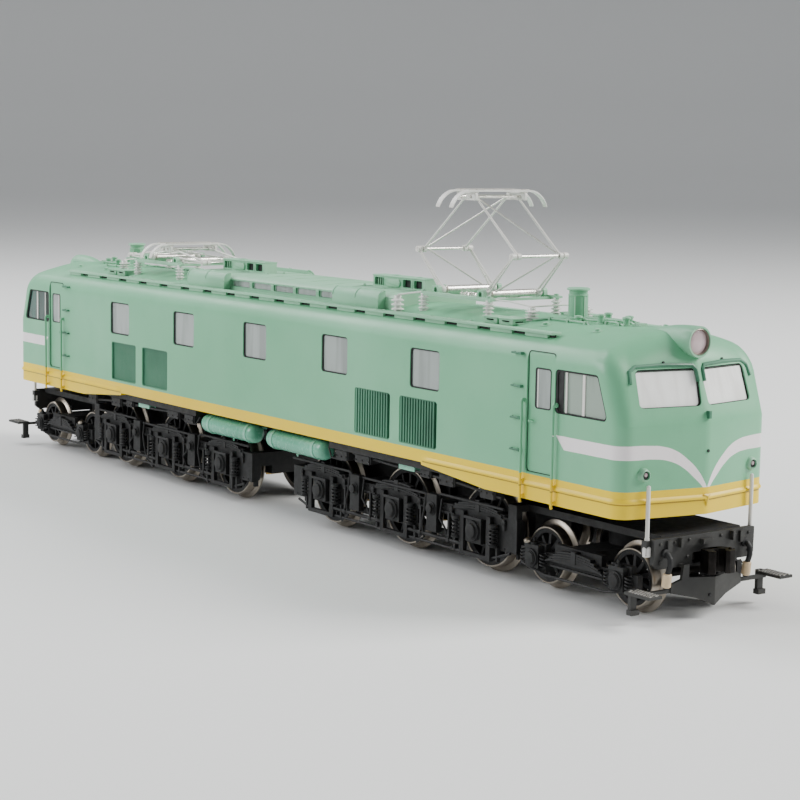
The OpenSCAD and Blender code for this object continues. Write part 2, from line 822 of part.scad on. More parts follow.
module driving_wheelset(number) {
  x = number <= 3 ? unit_axles[3 - number] : -unit_axles[number - 4];
  color("#8f8c86")
    translate([x, 0, driver_z]) {
      both_sides() wheel(driver_r, 14, 1.9);
      bar_y(0, 0, 0, 2 * wheel_out - 0.4, axle_d / 2);
      worm_wheel();
    }
}

module guide_wheelset(number) {
  x = number <= 2 ? guide_axles[2 - number] : -guide_axles[number - 3];
  color("#8f8c86")
    translate([x, 0, guide_z]) {
      both_sides() wheel(guide_r, 10, 1.5);
      bar_y(0, 0, 0, 2 * wheel_out - 0.4, 0.9);
      bar_y(0, 0, 0, 2 * frame_y + 1.6, journal_d / 2);
    }
}

// ---- truck units ----

// Axle box with its keeps, standing out of a side frame
module axle_box(x, z, w, y) {
  block([x - w / 2, y, z - w / 2], [x + w / 2, y + 1.2, z + w / 2]);
  bar_y(x, y + 1.3, z, 0.9, w * 0.36);
}

// Leaf spring stack over an axle box
module leaf_spring(x, z, half, y) {
  for (i = [0:3])
    block([x - half + i * half / 5, y, z + i * 0.45], [x + half - i * half / 5, y + 1, z + (i + 1) * 0.45]);
}

// Side frame of one unit on the left side, with its axle boxes, springs and brake gear
module unit_side() {
  y = frame_y;
  difference() {
    block([unit_low_x, y, rail + 4.6], [unit_high_x, y + frame_t, rail + 11]);
    for (x = [unit_axles[0] + axle_pitch / 2, unit_axles[1] + axle_pitch / 2])
      block([x - 6, y - 1, rail + 5.6], [x + 6, y + 3, rail + 8.8]);
  }
  for (x = unit_axles) {
    axle_box(x, driver_z - 0.4, 4.6, y + frame_t);
    leaf_spring(x, rail + 11, 7.5, y + 0.1);
    block([x - 4.6, y + frame_t, rail + 2.6], [x - 3.4, y + frame_t + 0.9, rail + 10.6]);
    block([x + 3.4, y + frame_t, rail + 2.6], [x + 4.6, y + frame_t + 0.9, rail + 10.6]);
    block([x - 4.6, y + frame_t, rail + 2.2], [x + 4.6, y + frame_t + 0.9, rail + 3]);
  }
  for (x = [unit_axles[0] + axle_pitch / 2, unit_axles[1] + axle_pitch / 2]) {
    block([x - 1.6, y + frame_t, rail + 5.1], [x + 1.6, y + frame_t + 1.3, rail + 12.4]);
    bar_y(x, y + frame_t + 1.1, rail + 9.6, 1.2, 1.1);
    rod([x - 9, y + frame_t + 0.45, rail + 4.1], [x + 9, y + frame_t + 0.45, rail + 4.1], 0.7);
  }
}

module unit_frame(end) {
  gap = 4.55;
  shelf_y = 9.5;
  color("#1d1e20")
    at_end(end)
      difference() {
        union() {
          both_sides() {
            unit_side();
            for (x = [unit_axles[0] + axle_pitch / 2, unit_axles[1] + axle_pitch / 2])
              block([x - 2.6, gap, rail + 9], [x + 2.6, frame_y, rail + 11]);
          }
          block([unit_low_x, -frame_y, rail + 8], [unit_low_x + 2.4, frame_y, rail + 11]);
          both_sides()
            block([unit_high_x - 2.6, frame_y - 0.2, rail + 5],
                  [unit_high_x - 0.2, frame_y + frame_t, shelf_z + shelf_t]);
          block([unit_high_x - 2.6, -frame_y, shelf_z], [unit_high_x - 0.2, frame_y, shelf_z + shelf_t]);
          block([unit_high_x - 0.2, -shelf_y, shelf_z], [beam_x, shelf_y, shelf_z + shelf_t]);
          block([coupler_x - 2.4, -3.6, coupler_z - 1.6], [beam_x, 3.6, shelf_z]);
        }
        translate([guide_x, 0, shelf_z - 1]) cylinder(h = shelf_t + 2, r = 1.5 + run);
        block([coupler_x - 1.6, -2.7, coupler_z - 1], [beam_x + 1, 2.7, coupler_z + 1]);
        translate([coupler_x, 0, coupler_z - 3]) cylinder(h = 4.5, r = 0.6 + run);
      }
}

// Buffer beam with its pilot, rail guards, corner steps, hoses and hand posts
module end_beam(end) {
  face = beam_x + beam_t;
  post_x = half_l - 1.4;
  post_y = 12.4;
  hose_y = 9.6;
  color("#232427")
    at_end(end) {
      difference() {
        block([beam_x, -beam_half, beam_bottom], [face, beam_half, beam_top]);
        block([beam_x - 1, -2.9, coupler_z - 1.1], [face + 1, 2.9, coupler_z + 1.2]);
      }
      pilot(face);
      both_sides() {
        block([post_x - 0.6, beam_half - 0.6, rail + 10.6], [beam_x, post_y + 0.6, rail + 13.2]);
        rod([post_x, post_y, rail + 10.2], [post_x, post_y, rail + 22.6], 0.7);
        corner_step(face);
      }
      for (y = [-hose_y, hose_y]) {
        rod([face, y, rail + 10.4], [face + 1.5, y, rail + 9.4], 0.9);
        rod([face + 1.5, y, rail + 9.7], [face + 0.9, y, rail + 7.4], 0.9);
        rod([face + 0.9, y, rail + 7.5], [face + 0.6, y, rail + 5], 1.5);
      }
      block([face, -1.2, rail + 11.8], [face + 0.9, 1.2, rail + 12.6]);
    }
}

// Pilot plate bent to a shallow vee below the beam
module pilot(face) {
  top = beam_bottom;
  for (side = [1, -1])
    mirror([0, side < 0 ? 1 : 0, 0])
      translate([face + 2.4, 0, 0])
        rotate([0, 0, 14])
          rotate([90, 0, 90])
            translate([0, 0, -0.4])
              linear_extrude(height = 0.8)
                polygon([[-0.1, rail + 1.3], [3.6, rail + 3], [8.6, rail + 3.9], [8.6, rail + 5.4],
                         [6.5, rail + 6.2], [6.2, top + 0.6], [5.1, top + 0.6], [5.1, rail + 6.5],
                         [-0.1, rail + 6.3]]);
  both_sides() block([face - 0.1, 5.1, beam_bottom], [face + 1.4, 6.2, beam_bottom + 0.6]);
}

// Chequered corner step on its bracket
module corner_step(face) {
  block([face - 1.4, 14.2, rail + 4.5], [face + 4.6, 17.3, rail + 5.1]);
  block([face - 1.8, 14.6, rail + 0.9], [face - 1.1, 16, rail + 5.1]);
  block([face - 0.3, 7.4, rail + 4], [face + 0.5, 15, rail + 4.6]);
}

// Outside frame of one guiding truck with its crossmember and pivot pin
module guide_frame(end) {
  z = guide_z;
  color("#1d1e20")
    at_end(end)
      difference() {
        union() {
          both_sides() {
            block([guide_axles[0] - 4.4, frame_y, z - 1.1],
                  [guide_axles[1] + 4.2, frame_y + frame_t, z + 1.3]);
            block([guide_x - 6.2, frame_y, z + 1.3], [guide_x + 6.2, frame_y + frame_t, z + 3.2]);
            for (x = guide_axles) {
              axle_box(x, z, 3.6, frame_y + frame_t);
              block([x - 2.6, frame_y, z - 2.6], [x + 2.6, frame_y + frame_t, z + 2.6]);
            }
            leaf_spring(guide_x, z + 0.2, 7, frame_y + frame_t);
          }
          block([guide_x - 3, -frame_y, z + 1.3], [guide_x + 3, frame_y, z + 3.2]);
          translate([guide_x, 0, z + 3.2]) cylinder(h = shelf_z - z - 3.4, r = 4);
          translate([guide_x, 0, z + 3.2]) cylinder(h = shelf_z + shelf_t - z - 3.2, r = 1.5);
        }
        for (x = guide_axles) bar_y(x, 0, z, 2 * frame_y + 1.8, journal_d / 2 + run);
      }
}

// Automatic coupler with its shank, pivot eye and hooked head
module coupler(end) {
  face = half_l + coupler_reach;
  z = coupler_z;
  color("#2c2a29")
    at_end(end) {
      translate([coupler_x, 0, z - 0.7]) cylinder(h = 1.4, r = 1.4);
      block([coupler_x, -0.9, z - 0.7], [face - 3.6, 0.9, z + 0.7]);
      translate([coupler_x, 0, z - 1.7]) cylinder(h = 1.1, r = 0.6);
      translate([0, 0, z - 2])
        linear_extrude(height = 4)
          polygon([[face - 4, -2.6], [face - 1.2, -2.9], [face - 0.5, -2.1], [face - 2.4, -1.1],
                   [face - 2.6, 0.6], [face - 1.5, 1], [face - 0.6, 0.2], [face, 0.8],
                   [face - 0.3, 2.3], [face - 1.8, 2.8], [face - 4, 2.4]]);
    }
}

// ---- pantographs ----

// Elbow and head pivots of one half, for lower and upper arm angles lo and up
function elbow(lo) = [panto_base_half + lower_arm * cos(lo), arm_z + lower_arm * sin(lo)];
function head_end(lo, up) =
  [elbow(lo)[0] - upper_arm * cos(up), elbow(lo)[1] + upper_arm * sin(up)];

// Lower frame of the forward half, with its base shaft, arms, brace and elbow shaft
module lower_frame(lo) {
  base = [panto_base_half, 0, arm_z];
  e = elbow(lo);
  color("#e6e6e4") {
    bar_y(base[0], 0, base[2], 2 * arm_y + 2.2, tube_d / 2 + 0.1);
    bar_y(base[0], 0, base[2], 2 * arm_y - 2.4, 0.75);
    bar_y(e[0], 0, e[1], 2 * arm_y + 1.1, 0.3);
    both_sides() {
      bar_y(base[0], arm_y, base[2], 1.1, 0.7);
      bar_y(e[0], arm_y, e[1], 1.1, 0.62);
      rod([base[0], arm_y, base[2]], [e[0], arm_y, e[1]], tube_d);
    }
    rod([base[0], 1.3 - arm_y, base[2]], [e[0], arm_y - 2.16, e[1]], 0.42);
  }
}

// Upper frame of the forward half, hung on the elbow shaft
module upper_frame(lo, up, shaft) {
  e = elbow(lo);
  h = head_end(lo, up);
  y = arm_y - 1.2;
  color("#e6e6e4")
    difference() {
      union() {
        both_sides() {
          bar_y(e[0], y, e[1], 0.8, 0.62);
          rod([e[0], y, e[1]], [h[0], y, h[1]], tube_d - 0.1);
        }
        bar_y(h[0], 0, h[1], 2 * shaft, 0.28);
        rod([e[0], y, e[1]], [h[0], -y, h[1]], 0.4);
      }
      bar_y(e[0], 0, e[1], 2 * arm_y, 0.3 + run);
    }
}

// Turns a forward half into the pantograph's forward or after half at x
module panto_half(x, fore) {
  translate([x, 0, 0]) rotate([0, 0, fore ? 0 : 180]) children();
}

// Head with two curved contact strips; it turns on the fore shaft, and the after shaft
// slides in its slot as the frame folds
module panto_head(x, lo, up) {
  h = head_end(lo, up)[0];
  z = head_end(lo, up)[1];
  plate_y = arm_y - 0.25;
  strip_x = 2.1;
  bore_x = 1.3;
  slot_out = 1.75;
  slot_in = 0.4;
  color("#efefed")
    translate([x + h - bore_x, 0, 0]) {
      both_sides()
        difference() {
          block([-3, plate_y - 0.25, z - 0.75], [3, plate_y + 0.25, z + 1.05]);
          bar_y(bore_x, plate_y, z, 2, 0.28 + run);
          block([-slot_out, plate_y - 1, z - 0.36], [-slot_in, plate_y + 1, z + 0.36]);
          bar_y(-slot_out, plate_y, z, 2, 0.36);
          bar_y(-slot_in, plate_y, z, 2, 0.36);
        }
      for (sx = [-strip_x, strip_x]) {
        block([sx - 0.55, -8, z + 1.05], [sx + 0.55, 8, z + 1.5]);
        both_sides()
          translate([sx, 8, z + 1.05]) horn();
      }
    }
}

// Down-curved horn at the end of a contact strip
module horn() {
  r = horn_y - 8;
  translate([0, 0, -r + 0.45])
    rotate([90, 0, 90])
      translate([0, 0, -0.45])
        linear_extrude(height = 0.9)
          polygon(concat(arc(0, 0, r, 90, 25, 8), arc(0, 0, r - 0.45, 25, 90, 8)));
}

// Base frames with their bearing cheeks, standing on the insulators
module pantograph_bases() {
  top = arm_z - 0.9;
  color("#b9cfc0")
    both_ends()
      translate([panto_x, 0, 0]) {
        for (y = [-8.4, 8.4]) block([-11, y - 0.5, top], [11, y + 0.5, top + 0.5]);
        for (x = [-8.6, 8.6]) block([x - 0.4, -8.3, top - 0.35], [x + 0.4, 8.3, top + 0.12]);
        for (x = [-panto_base_half, panto_base_half]) both_sides()
          difference() {
            block([x - 0.9, arm_y + 0.75, top + 0.1], [x + 0.9, arm_y + 1.6, arm_z + 0.9]);
            bar_y(x, arm_y + 1, arm_z, 3, tube_d / 2 + 0.1 + run);
          }
      }
}

body_shell();
side_glazing();
cab_glazing();
intake_panels();
roof_monitor();
roof_vents();
running_boards();
roof_fittings();
roof_insulators();
headlight_housings();
headlight_lenses();
marker_lamps();
rails_and_steps();
air_tanks();
chassis_plate();
body_screws();
ballast_weights();
circuit_board();
motor_housing();
motor_rotor();
pantograph_bases();
cardan(1);  // cardan_front
cardan(-1);  // cardan_rear
input_shaft(1);  // input_shaft_front
input_shaft(-1);  // input_shaft_rear
worm_shaft(1);  // worm_shaft_front
worm_shaft(-1);  // worm_shaft_rear
gearbox(1);  // gearbox_front
gearbox(-1);  // gearbox_rear
unit_frame(1);  // unit_frame_front
unit_frame(-1);  // unit_frame_rear
end_beam(1);  // end_beam_front
end_beam(-1);  // end_beam_rear
driving_wheelset(1);  // driving_wheelset_1
driving_wheelset(2);  // driving_wheelset_2
driving_wheelset(3);  // driving_wheelset_3
driving_wheelset(4);  // driving_wheelset_4
driving_wheelset(5);  // driving_wheelset_5
driving_wheelset(6);  // driving_wheelset_6
guide_frame(1);  // guide_frame_front
guide_frame(-1);  // guide_frame_rear
guide_wheelset(1);  // guide_wheelset_1
guide_wheelset(2);  // guide_wheelset_2
guide_wheelset(3);  // guide_wheelset_3
guide_wheelset(4);  // guide_wheelset_4
coupler(1);  // coupler_front
coupler(-1);  // coupler_rear
panto_half(panto_x, true) lower_frame(raised_lower);  // pan_front_lower_fore
panto_half(panto_x, false) lower_frame(raised_lower);  // pan_front_lower_aft
panto_half(panto_x, true) upper_frame(raised_lower, raised_upper, arm_y + 0.3);  // pan_front_upper_fore
panto_half(panto_x, false) upper_frame(raised_lower, raised_upper, arm_y + 0.3);  // pan_front_upper_aft
panto_head(panto_x, raised_lower, raised_upper);  // pan_front_head
panto_half(-panto_x, true) lower_frame(folded_lower);  // pan_rear_lower_fore
panto_half(-panto_x, false) lower_frame(folded_lower);  // pan_rear_lower_aft
panto_half(-panto_x, true) upper_frame(folded_lower, folded_upper, arm_y + 0.3);  // pan_rear_upper_fore
panto_half(-panto_x, false) upper_frame(folded_lower, folded_upper, arm_y + 0.3);  // pan_rear_upper_aft
panto_head(-panto_x, folded_lower, folded_upper);  // pan_rear_head
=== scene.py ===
"""Model electric locomotive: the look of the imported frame, in metres.

Lengths inside the shape functions are millimetres; MM turns them to metres when a mesh is made.
"""
import math

import bmesh
import bpy
import numpy as np
from mathutils import Matrix, Vector


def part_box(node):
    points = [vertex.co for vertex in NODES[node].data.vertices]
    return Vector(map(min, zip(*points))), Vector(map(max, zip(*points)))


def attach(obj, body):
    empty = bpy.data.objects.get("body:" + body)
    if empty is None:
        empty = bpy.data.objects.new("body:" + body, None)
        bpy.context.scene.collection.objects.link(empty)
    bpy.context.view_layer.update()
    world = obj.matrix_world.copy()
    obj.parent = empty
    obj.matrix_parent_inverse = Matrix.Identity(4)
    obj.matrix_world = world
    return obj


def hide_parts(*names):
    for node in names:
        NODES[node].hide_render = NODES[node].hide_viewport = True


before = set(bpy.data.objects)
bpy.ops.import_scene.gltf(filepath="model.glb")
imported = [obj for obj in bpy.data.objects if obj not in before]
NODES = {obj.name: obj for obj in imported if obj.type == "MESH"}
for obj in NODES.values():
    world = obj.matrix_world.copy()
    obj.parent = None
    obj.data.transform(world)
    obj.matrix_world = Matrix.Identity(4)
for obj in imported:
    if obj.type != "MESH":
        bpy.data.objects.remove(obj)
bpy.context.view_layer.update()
MM = 0.001


# ---- places read from the frame, in millimetres ----

def span(node):
    """Lowest and highest corner of a CAD node in millimetres."""
    low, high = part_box(node)
    return np.array(low) / MM, np.array(high) / MM


SHELL_LO, SHELL_HI = span("body_shell")
HALF_L = SHELL_HI[0]
HALF_W = SHELL_HI[1]
CROWN = SHELL_HI[2]
DEEP_Z = SHELL_LO[2]
RAIL = 1.0
WALL = 1.2
ROOF_R = 42.0
ROOF_CZ = CROWN - ROOF_R
EAVES_R = 2.2
BROW_R = 5.0
CORNER_R = 2.4
CREASE_Z = RAIL + 32.7
SKIRT_Z = RAIL + 19.1
VEE = math.atan2(3.1, HALF_W)
RAKE = math.radians(17.5)
SILL_Z = RAIL + 33.1
ENDS = ("front", "rear")


def roof_z(y):
    """Height of the roof's arch at a distance y from the middle."""
    return ROOF_CZ + math.sqrt(ROOF_R * ROOF_R - y * y)


# ---- colours and shader nodes ----

def paint(code, alpha=1.0):
    """An sRGB hex colour as linear RGBA."""
    out = []
    for i in (0, 2, 4):
        c = int(code[i:i + 2], 16) / 255
        out.append(c / 12.92 if c <= 0.04045 else ((c + 0.055) / 1.055) ** 2.4)
    return (*out, alpha)


def add(tree, kind, links=None, **settings):
    """Adds a node, sets its properties and input values, and links what is given as a socket."""
    made = tree.nodes.new(kind)
    for key, value in settings.items():
        setattr(made, key, value)
    for key, value in (links or {}).items():
        if isinstance(value, bpy.types.NodeSocket):
            tree.links.new(value, made.inputs[key])
        else:
            made.inputs[key].default_value = value
    return made


def ramp_of(tree, source, stops):
    """A colour ramp over a factor, from pairs of place and linear colour."""
    made = add(tree, "ShaderNodeValToRGB", {"Fac": source})
    band = made.color_ramp
    while len(band.elements) < len(stops):
        band.elements.new(0.5)
    for element, (place, colour) in zip(band.elements, stops):
        element.position = place
        element.color = colour
    return made.outputs["Color"]


def new_material(name):
    """A material with an empty Principled shader and object coordinates."""
    mat = bpy.data.materials.new(name)
    mat.use_nodes = True
    tree = mat.node_tree
    tree.nodes.clear()
    out = add(tree, "ShaderNodeOutputMaterial")
    skin = add(tree, "ShaderNodeBsdfPrincipled")
    tree.links.new(skin.outputs["BSDF"], out.inputs["Surface"])
    place = add(tree, "ShaderNodeTexCoord").outputs["Object"]
    return mat, tree, skin, place


def noise(tree, place, size_mm, detail=3.0, rough=0.55, stretch=None):
    """Noise whose lumps are about size_mm across."""
    if stretch:
        place = add(tree, "ShaderNodeMapping", {"Vector": place, "Scale": stretch}).outputs["Vector"]
    return add(tree, "ShaderNodeTexNoise", {"Vector": place, "Scale": 1000.0 / size_mm,
                                            "Detail": detail, "Roughness": rough}).outputs["Fac"]


def math_node(tree, operation, a, b=0.0, clamp=False):
    """One Math node on two values or sockets."""
    return add(tree, "ShaderNodeMath", {0: a, 1: b}, operation=operation, use_clamp=clamp).outputs[0]


def mix_colour(tree, factor, a, b, blend="MIX"):
    """Mixes two colours by a factor."""
    made = add(tree, "ShaderNodeMix", data_type="RGBA", blend_type=blend)
    for place, value in ((0, factor), (6, a), (7, b)):
        if isinstance(value, bpy.types.NodeSocket):
            tree.links.new(value, made.inputs[place])
        else:
            made.inputs[place].default_value = value
    return made.outputs[2]


def edge_wear(tree, radius_mm, low=0.52, high=0.62):
    """High on outside edges, where paint rubs thin and metal shines."""
    point = add(tree, "ShaderNodeNewGeometry").outputs["Pointiness"]
    return add(tree, "ShaderNodeMapRange", {"Value": point, "From Min": low, "From Max": high,
                                            "To Min": 0.0, "To Max": radius_mm}).outputs["Result"]


def bump(tree, skin, height, depth_mm, strength=0.6):
    """Raises the surface by a height pattern."""
    made = add(tree, "ShaderNodeBump", {"Height": height, "Strength": strength,
                                        "Distance": depth_mm * MM})
    tree.links.new(made.outputs["Normal"], skin.inputs["Normal"])


def rough_from(tree, skin, source, low, high):
    """Roughness that drifts between two values with a pattern."""
    made = add(tree, "ShaderNodeMapRange", {"Value": source, "From Min": 0.3, "From Max": 0.7,
                                            "To Min": low, "To Max": high})
    tree.links.new(made.outputs["Result"], skin.inputs["Roughness"])


def painted_metal(name, code, dark, light, low=0.38, high=0.52, grain=0.35, wear=None):
    """Sprayed enamel: slow colour drift, fine orange peel, and paler or bare edges."""
    mat, tree, skin, place = new_material(name)
    drift = noise(tree, place, 22, 3.0)
    colour = ramp_of(tree, drift, ((0.32, paint(dark)), (0.5, paint(code)), (0.7, paint(light))))
    specks = noise(tree, place, 1.3, 4.0, 0.7)
    dust = add(tree, "ShaderNodeMapRange", {"Value": specks, "From Min": 0.6, "From Max": 0.78,
                                            "To Min": 0.0, "To Max": 0.35}).outputs["Result"]
    colour = mix_colour(tree, dust, colour, paint(light))
    if wear:
        colour = mix_colour(tree, edge_wear(tree, 0.7), colour, paint(wear))
    tree.links.new(colour, skin.inputs["Base Color"])
    rough_from(tree, skin, specks, low, high)
    bump(tree, skin, noise(tree, place, grain, 2.0), 0.02, 0.35)
    return mat


def bare_metal(name, code, dark, low, high, brush=None, grain=0.3):
    """Metal with tarnish in patches and turning or drawing marks."""
    mat, tree, skin, place = new_material(name)
    skin.inputs["Metallic"].default_value = 1.0
    tarnish = noise(tree, place, 2.2, 4.0, 0.6)
    colour = ramp_of(tree, tarnish, ((0.36, paint(dark)), (0.6, paint(code))))
    tree.links.new(colour, skin.inputs["Base Color"])
    marks = noise(tree, place, grain, 3.0, 0.6, brush)
    rough_from(tree, skin, marks, low, high)
    bump(tree, skin, marks, 0.015, 0.4)
    return mat


def moulded(name, code, dark, low, high, grain=0.6, clear=0.0):
    """Moulded plastic, porcelain or rubber: even colour, slight grain."""
    mat, tree, skin, place = new_material(name)
    drift = noise(tree, place, 3.0, 3.0)
    colour = ramp_of(tree, drift, ((0.3, paint(dark)), (0.62, paint(code))))
    tree.links.new(colour, skin.inputs["Base Color"])
    rough_from(tree, skin, noise(tree, place, 1.2, 3.0), low, high)
    skin.inputs["Coat Weight"].default_value = clear
    bump(tree, skin, noise(tree, place, grain, 2.0), 0.012, 0.3)
    return mat


STRIPE_TOP = ((0, 21.4), (0.6, 22.6), (1.9, 24.5), (4, 26.5), (6.6, 28.2), (9, 29.0), (12, 29.3), (17.5, 29.3))
STRIPE_LOW = ((0, 20.2), (1.1, 21.8), (2.7, 23.3), (4.8, 25.0), (7.7, 26.4), (11, 26.9), (14, 26.9), (17.5, 26.9))
BAND_TOP = RAIL + 21.5
RIDGE_LOW = RAIL + 19.35
RIDGE_HIGH = RAIL + 20.25


def height_curve(tree, along, points):
    """Height in millimetres above the flange bottoms as a curve over the distance from the ridge."""
    made = add(tree, "ShaderNodeFloatCurve", {"Factor": 1.0, "Value": math_node(tree, "DIVIDE", along, 17.5)})
    curve = made.mapping.curves[0]
    while len(curve.points) < len(points):
        curve.points.new(0.5, 0.5)
    for spot, (y, z) in zip(curve.points, points):
        spot.location = (y / 17.5, (z - 20.0) / 10.0)
    made.mapping.update()
    scaled = math_node(tree, "MULTIPLY", made.outputs["Value"], 10.0)
    return math_node(tree, "ADD", scaled, 20.0 + RAIL)


def body_paint():
    """Pale green satin enamel on a metal body, with a masked yellow band, a white nose stripe and a dark line of
    painted shadow under the ridge moulding.
    The eye sees even spray, faint orange peel and slightly uneven masked edges."""
    mat, tree, skin, place = new_material("satin_green_enamel_with_masked_bands")
    axes = add(tree, "ShaderNodeSeparateXYZ", {"Vector": place})
    x, y, z = (math_node(tree, "MULTIPLY", axes.outputs[i], 1000.0) for i in range(3))
    far = math_node(tree, "ABSOLUTE", x)
    side = math_node(tree, "ABSOLUTE", y)
    drift = noise(tree, place, 45, 3.0)
    green = ramp_of(tree, drift, ((0.3, paint("62A97F")), (0.5, paint("6DB289")), (0.72, paint("7ABB94"))))
    wobble = math_node(tree, "MULTIPLY", math_node(tree, "SUBTRACT", noise(tree, place, 2.5), 0.5), 0.12)
    level = math_node(tree, "ADD", z, wobble)
    below_top = math_node(tree, "LESS_THAN", level, height_curve(tree, side, STRIPE_TOP))
    above_low = math_node(tree, "GREATER_THAN", level, height_curve(tree, side, STRIPE_LOW))
    tip = math_node(tree, "ADD", math_node(tree, "MULTIPLY", level, -0.92), 99.6 + 0.92 * (RAIL + 28.9))
    ahead = math_node(tree, "GREATER_THAN", far, tip)
    stripe = math_node(tree, "MULTIPLY", math_node(tree, "MULTIPLY", below_top, above_low), ahead)
    yellow = ramp_of(tree, drift, ((0.35, paint("E2BE00")), (0.65, paint("F0CE00"))))
    colour = mix_colour(tree, stripe, green, paint("EFE8EA"))
    in_band = math_node(tree, "LESS_THAN", level, BAND_TOP)
    colour = mix_colour(tree, in_band, colour, yellow)
    # painted shadow: a dark ochre line just under the ridge moulding on the deep skirts, where the ridge casts its
    # shade
    under = math_node(tree, "MULTIPLY", math_node(tree, "GREATER_THAN", level, RIDGE_LOW - 0.2),
                      math_node(tree, "LESS_THAN", level, RIDGE_LOW + 0.06))
    under = math_node(tree, "MULTIPLY", under, math_node(tree, "GREATER_THAN", far, 60.6))
    colour = mix_colour(tree, math_node(tree, "MULTIPLY", under, 0.75), colour, paint("8A6A0C"))
    peel = noise(tree, place, 0.5, 2.0)
    grime = add(tree, "ShaderNodeMapRange", {"Value": noise(tree, place, 5, 4.0, 0.65), "From Min": 0.55,
                                             "From Max": 0.8, "To Min": 0.0, "To Max": 0.12}).outputs["Result"]
    grime = math_node(tree, "MULTIPLY", grime, math_node(tree, "SUBTRACT", 1.0, in_band))
    colour = mix_colour(tree, grime, colour, paint("4E7D64"))
    tree.links.new(colour, skin.inputs["Base Color"])
    rough_from(tree, skin, noise(tree, place, 7, 4.0), 0.34, 0.46)
    bump(tree, skin, peel, 0.02, 0.22)
    return mat


def blind_glass(name, code, dark):
    """Clear moulded pane with a pale blind close behind it: soft upright folds under gloss."""
    mat, tree, skin, place = new_material(name)
    folds = noise(tree, place, 2.6, 2.0, 0.5, (1.0, 1.0, 0.12))
    colour = ramp_of(tree, folds, ((0.34, paint(dark)), (0.58, paint(code))))
    tree.links.new(colour, skin.inputs["Base Color"])
    rough_from(tree, skin, noise(tree, place, 4, 2.0), 0.16, 0.24)
    skin.inputs["Coat Weight"].default_value = 0.6
    skin.inputs["Coat Roughness"].default_value = 0.06
    bump(tree, skin, folds, 0.03, 0.25)
    return mat


def cab_glass():
    """Clear moulded cab panes: the blind is drawn at the front cab; at the rear one the pane is painted dark green,
    painted shade standing for the unlit cab behind it.
    """
    mat, tree, skin, place = new_material("clear_pane_with_blind_and_painted_cab_shade")
    along = add(tree, "ShaderNodeSeparateXYZ", {"Vector": place}).outputs[0]
    folds = noise(tree, place, 2.6, 2.0, 0.5, (1.0, 1.0, 0.12))
    pale = ramp_of(tree, folds, ((0.34, paint("74857A")), (0.58, paint("8C9C90"))))
    # painted shade: the dark green on the rear panes stands for the shaded inside of the cab
    deep = ramp_of(tree, folds, ((0.34, paint("12302A")), (0.7, paint("2C5C50"))))
    tree.links.new(mix_colour(tree, math_node(tree, "GREATER_THAN", along, 0.0), deep, pale),
                   skin.inputs["Base Color"])
    rough_from(tree, skin, noise(tree, place, 4, 2.0), 0.14, 0.22)
    return mat


MATS = {
    "body": body_paint(),
    # satin enamel sprayed over cast and turned roof parts: a little lighter on the edges
    "green": painted_metal("satin_green_enamel", "74B28D", "66A580", "86BF9C", wear="A0CBAE"),
    # glossier enamel on the air tanks, so their tops catch the light; the tanks also get their own copy of the green,
    # painted light that stands for the stronger light falling on them from above
    "tank_lit_green": painted_metal("gloss_green_enamel_with_painted_light_on_tanks", "5FA98C", "529C7E", "6FB89C", 0.2, 0.32, wear="86C4AB"),
    # darker green inside the intake grilles; on the rain strips, nose lug and ladder rungs, which are body green, the
    # darker green is painted shade
    "filter": painted_metal("dark_green_on_grilles_and_painted_shade", "3F7A5D", "2C6148", "4F8A6C"),
    # satin yellow enamel on the band mouldings
    "yellow": painted_metal("satin_yellow_enamel", "DEBC00", "CCA800", "E8CA10"),
    # black-painted white-metal castings: matt, greyer on the edges, dusty
    "black": painted_metal("matt_black_enamel_on_castings", "050505", "020203", "0C0C0D",
                           0.55, 0.75, 0.25, wear="1F1F20"),
    # dark grey enamel on the pilot, end beam and steps: satin
    "dark": painted_metal("satin_dark_grey_enamel", "0E0F10", "08090A", "18191B", 0.45, 0.6, wear="343432"),
    # nickel-plated brass tyres and treads: bright, lathe-turned
    "nickel": bare_metal("turned_nickel_plate", "A79F94", "958C80", 0.28, 0.36, grain=0.05),
    # drawn nickel-silver wire and strip on the pantographs: pale, silky
    "silver": bare_metal("drawn_nickel_silver", "E6E4DF", "D0CCC5", 0.24, 0.4),
    # blackened steel of couplers and springs
    "steel": bare_metal("blackened_steel", "2A2827", "1E1C1B", 0.4, 0.55),
    # machined brass gears
    "brass": bare_metal("machined_brass", "C9A45C", "8E6C34", 0.22, 0.4),
    # glazed white insulators: high gloss, clean
    "porcelain": moulded("glazed_white_porcelain", "F2F1EE", "DEDCD8", 0.12, 0.2, clear=0.5),
    # white-painted pantograph tubing
    "white": painted_metal("satin_white_enamel_on_tubes", "E8E8E6", "D8D8D5", "F4F4F2", 0.3, 0.45, wear="D5D2CB"),
    # black rubber window seals
    "rubber": moulded("matt_black_rubber", "1B1C1D", "101011", 0.55, 0.75),
    # unpainted cream rubber hose ends
    "cream": moulded("cream_rubber_hose", "D9C3A0", "BFA582", 0.45, 0.6),
    "pane": blind_glass("clear_pane_over_grey_blind", "8B9591", "717B77"),
    "screen": blind_glass("clear_windscreen_over_white_blind", "FFFFFD", "F0EFEC"),
    # cab side panes: a pale blind behind the front ones; the rear ones are painted dark, painted shade for the cab
    # behind them
    "cab_pane": cab_glass(),
    # slightly pink moulded lamp glass in front of a bright reflector
    "lens": blind_glass("ribbed_lamp_glass", "B9A5A8", "8E7C80"),
    # green circuit laminate with solder
    "board": moulded("green_circuit_laminate", "2F6B47", "23523A", 0.3, 0.4),
    # copper windings and armature
    "copper": bare_metal("enamelled_copper", "B4703C", "6E4426", 0.3, 0.45),
}


# ---- shapes in millimetres ----

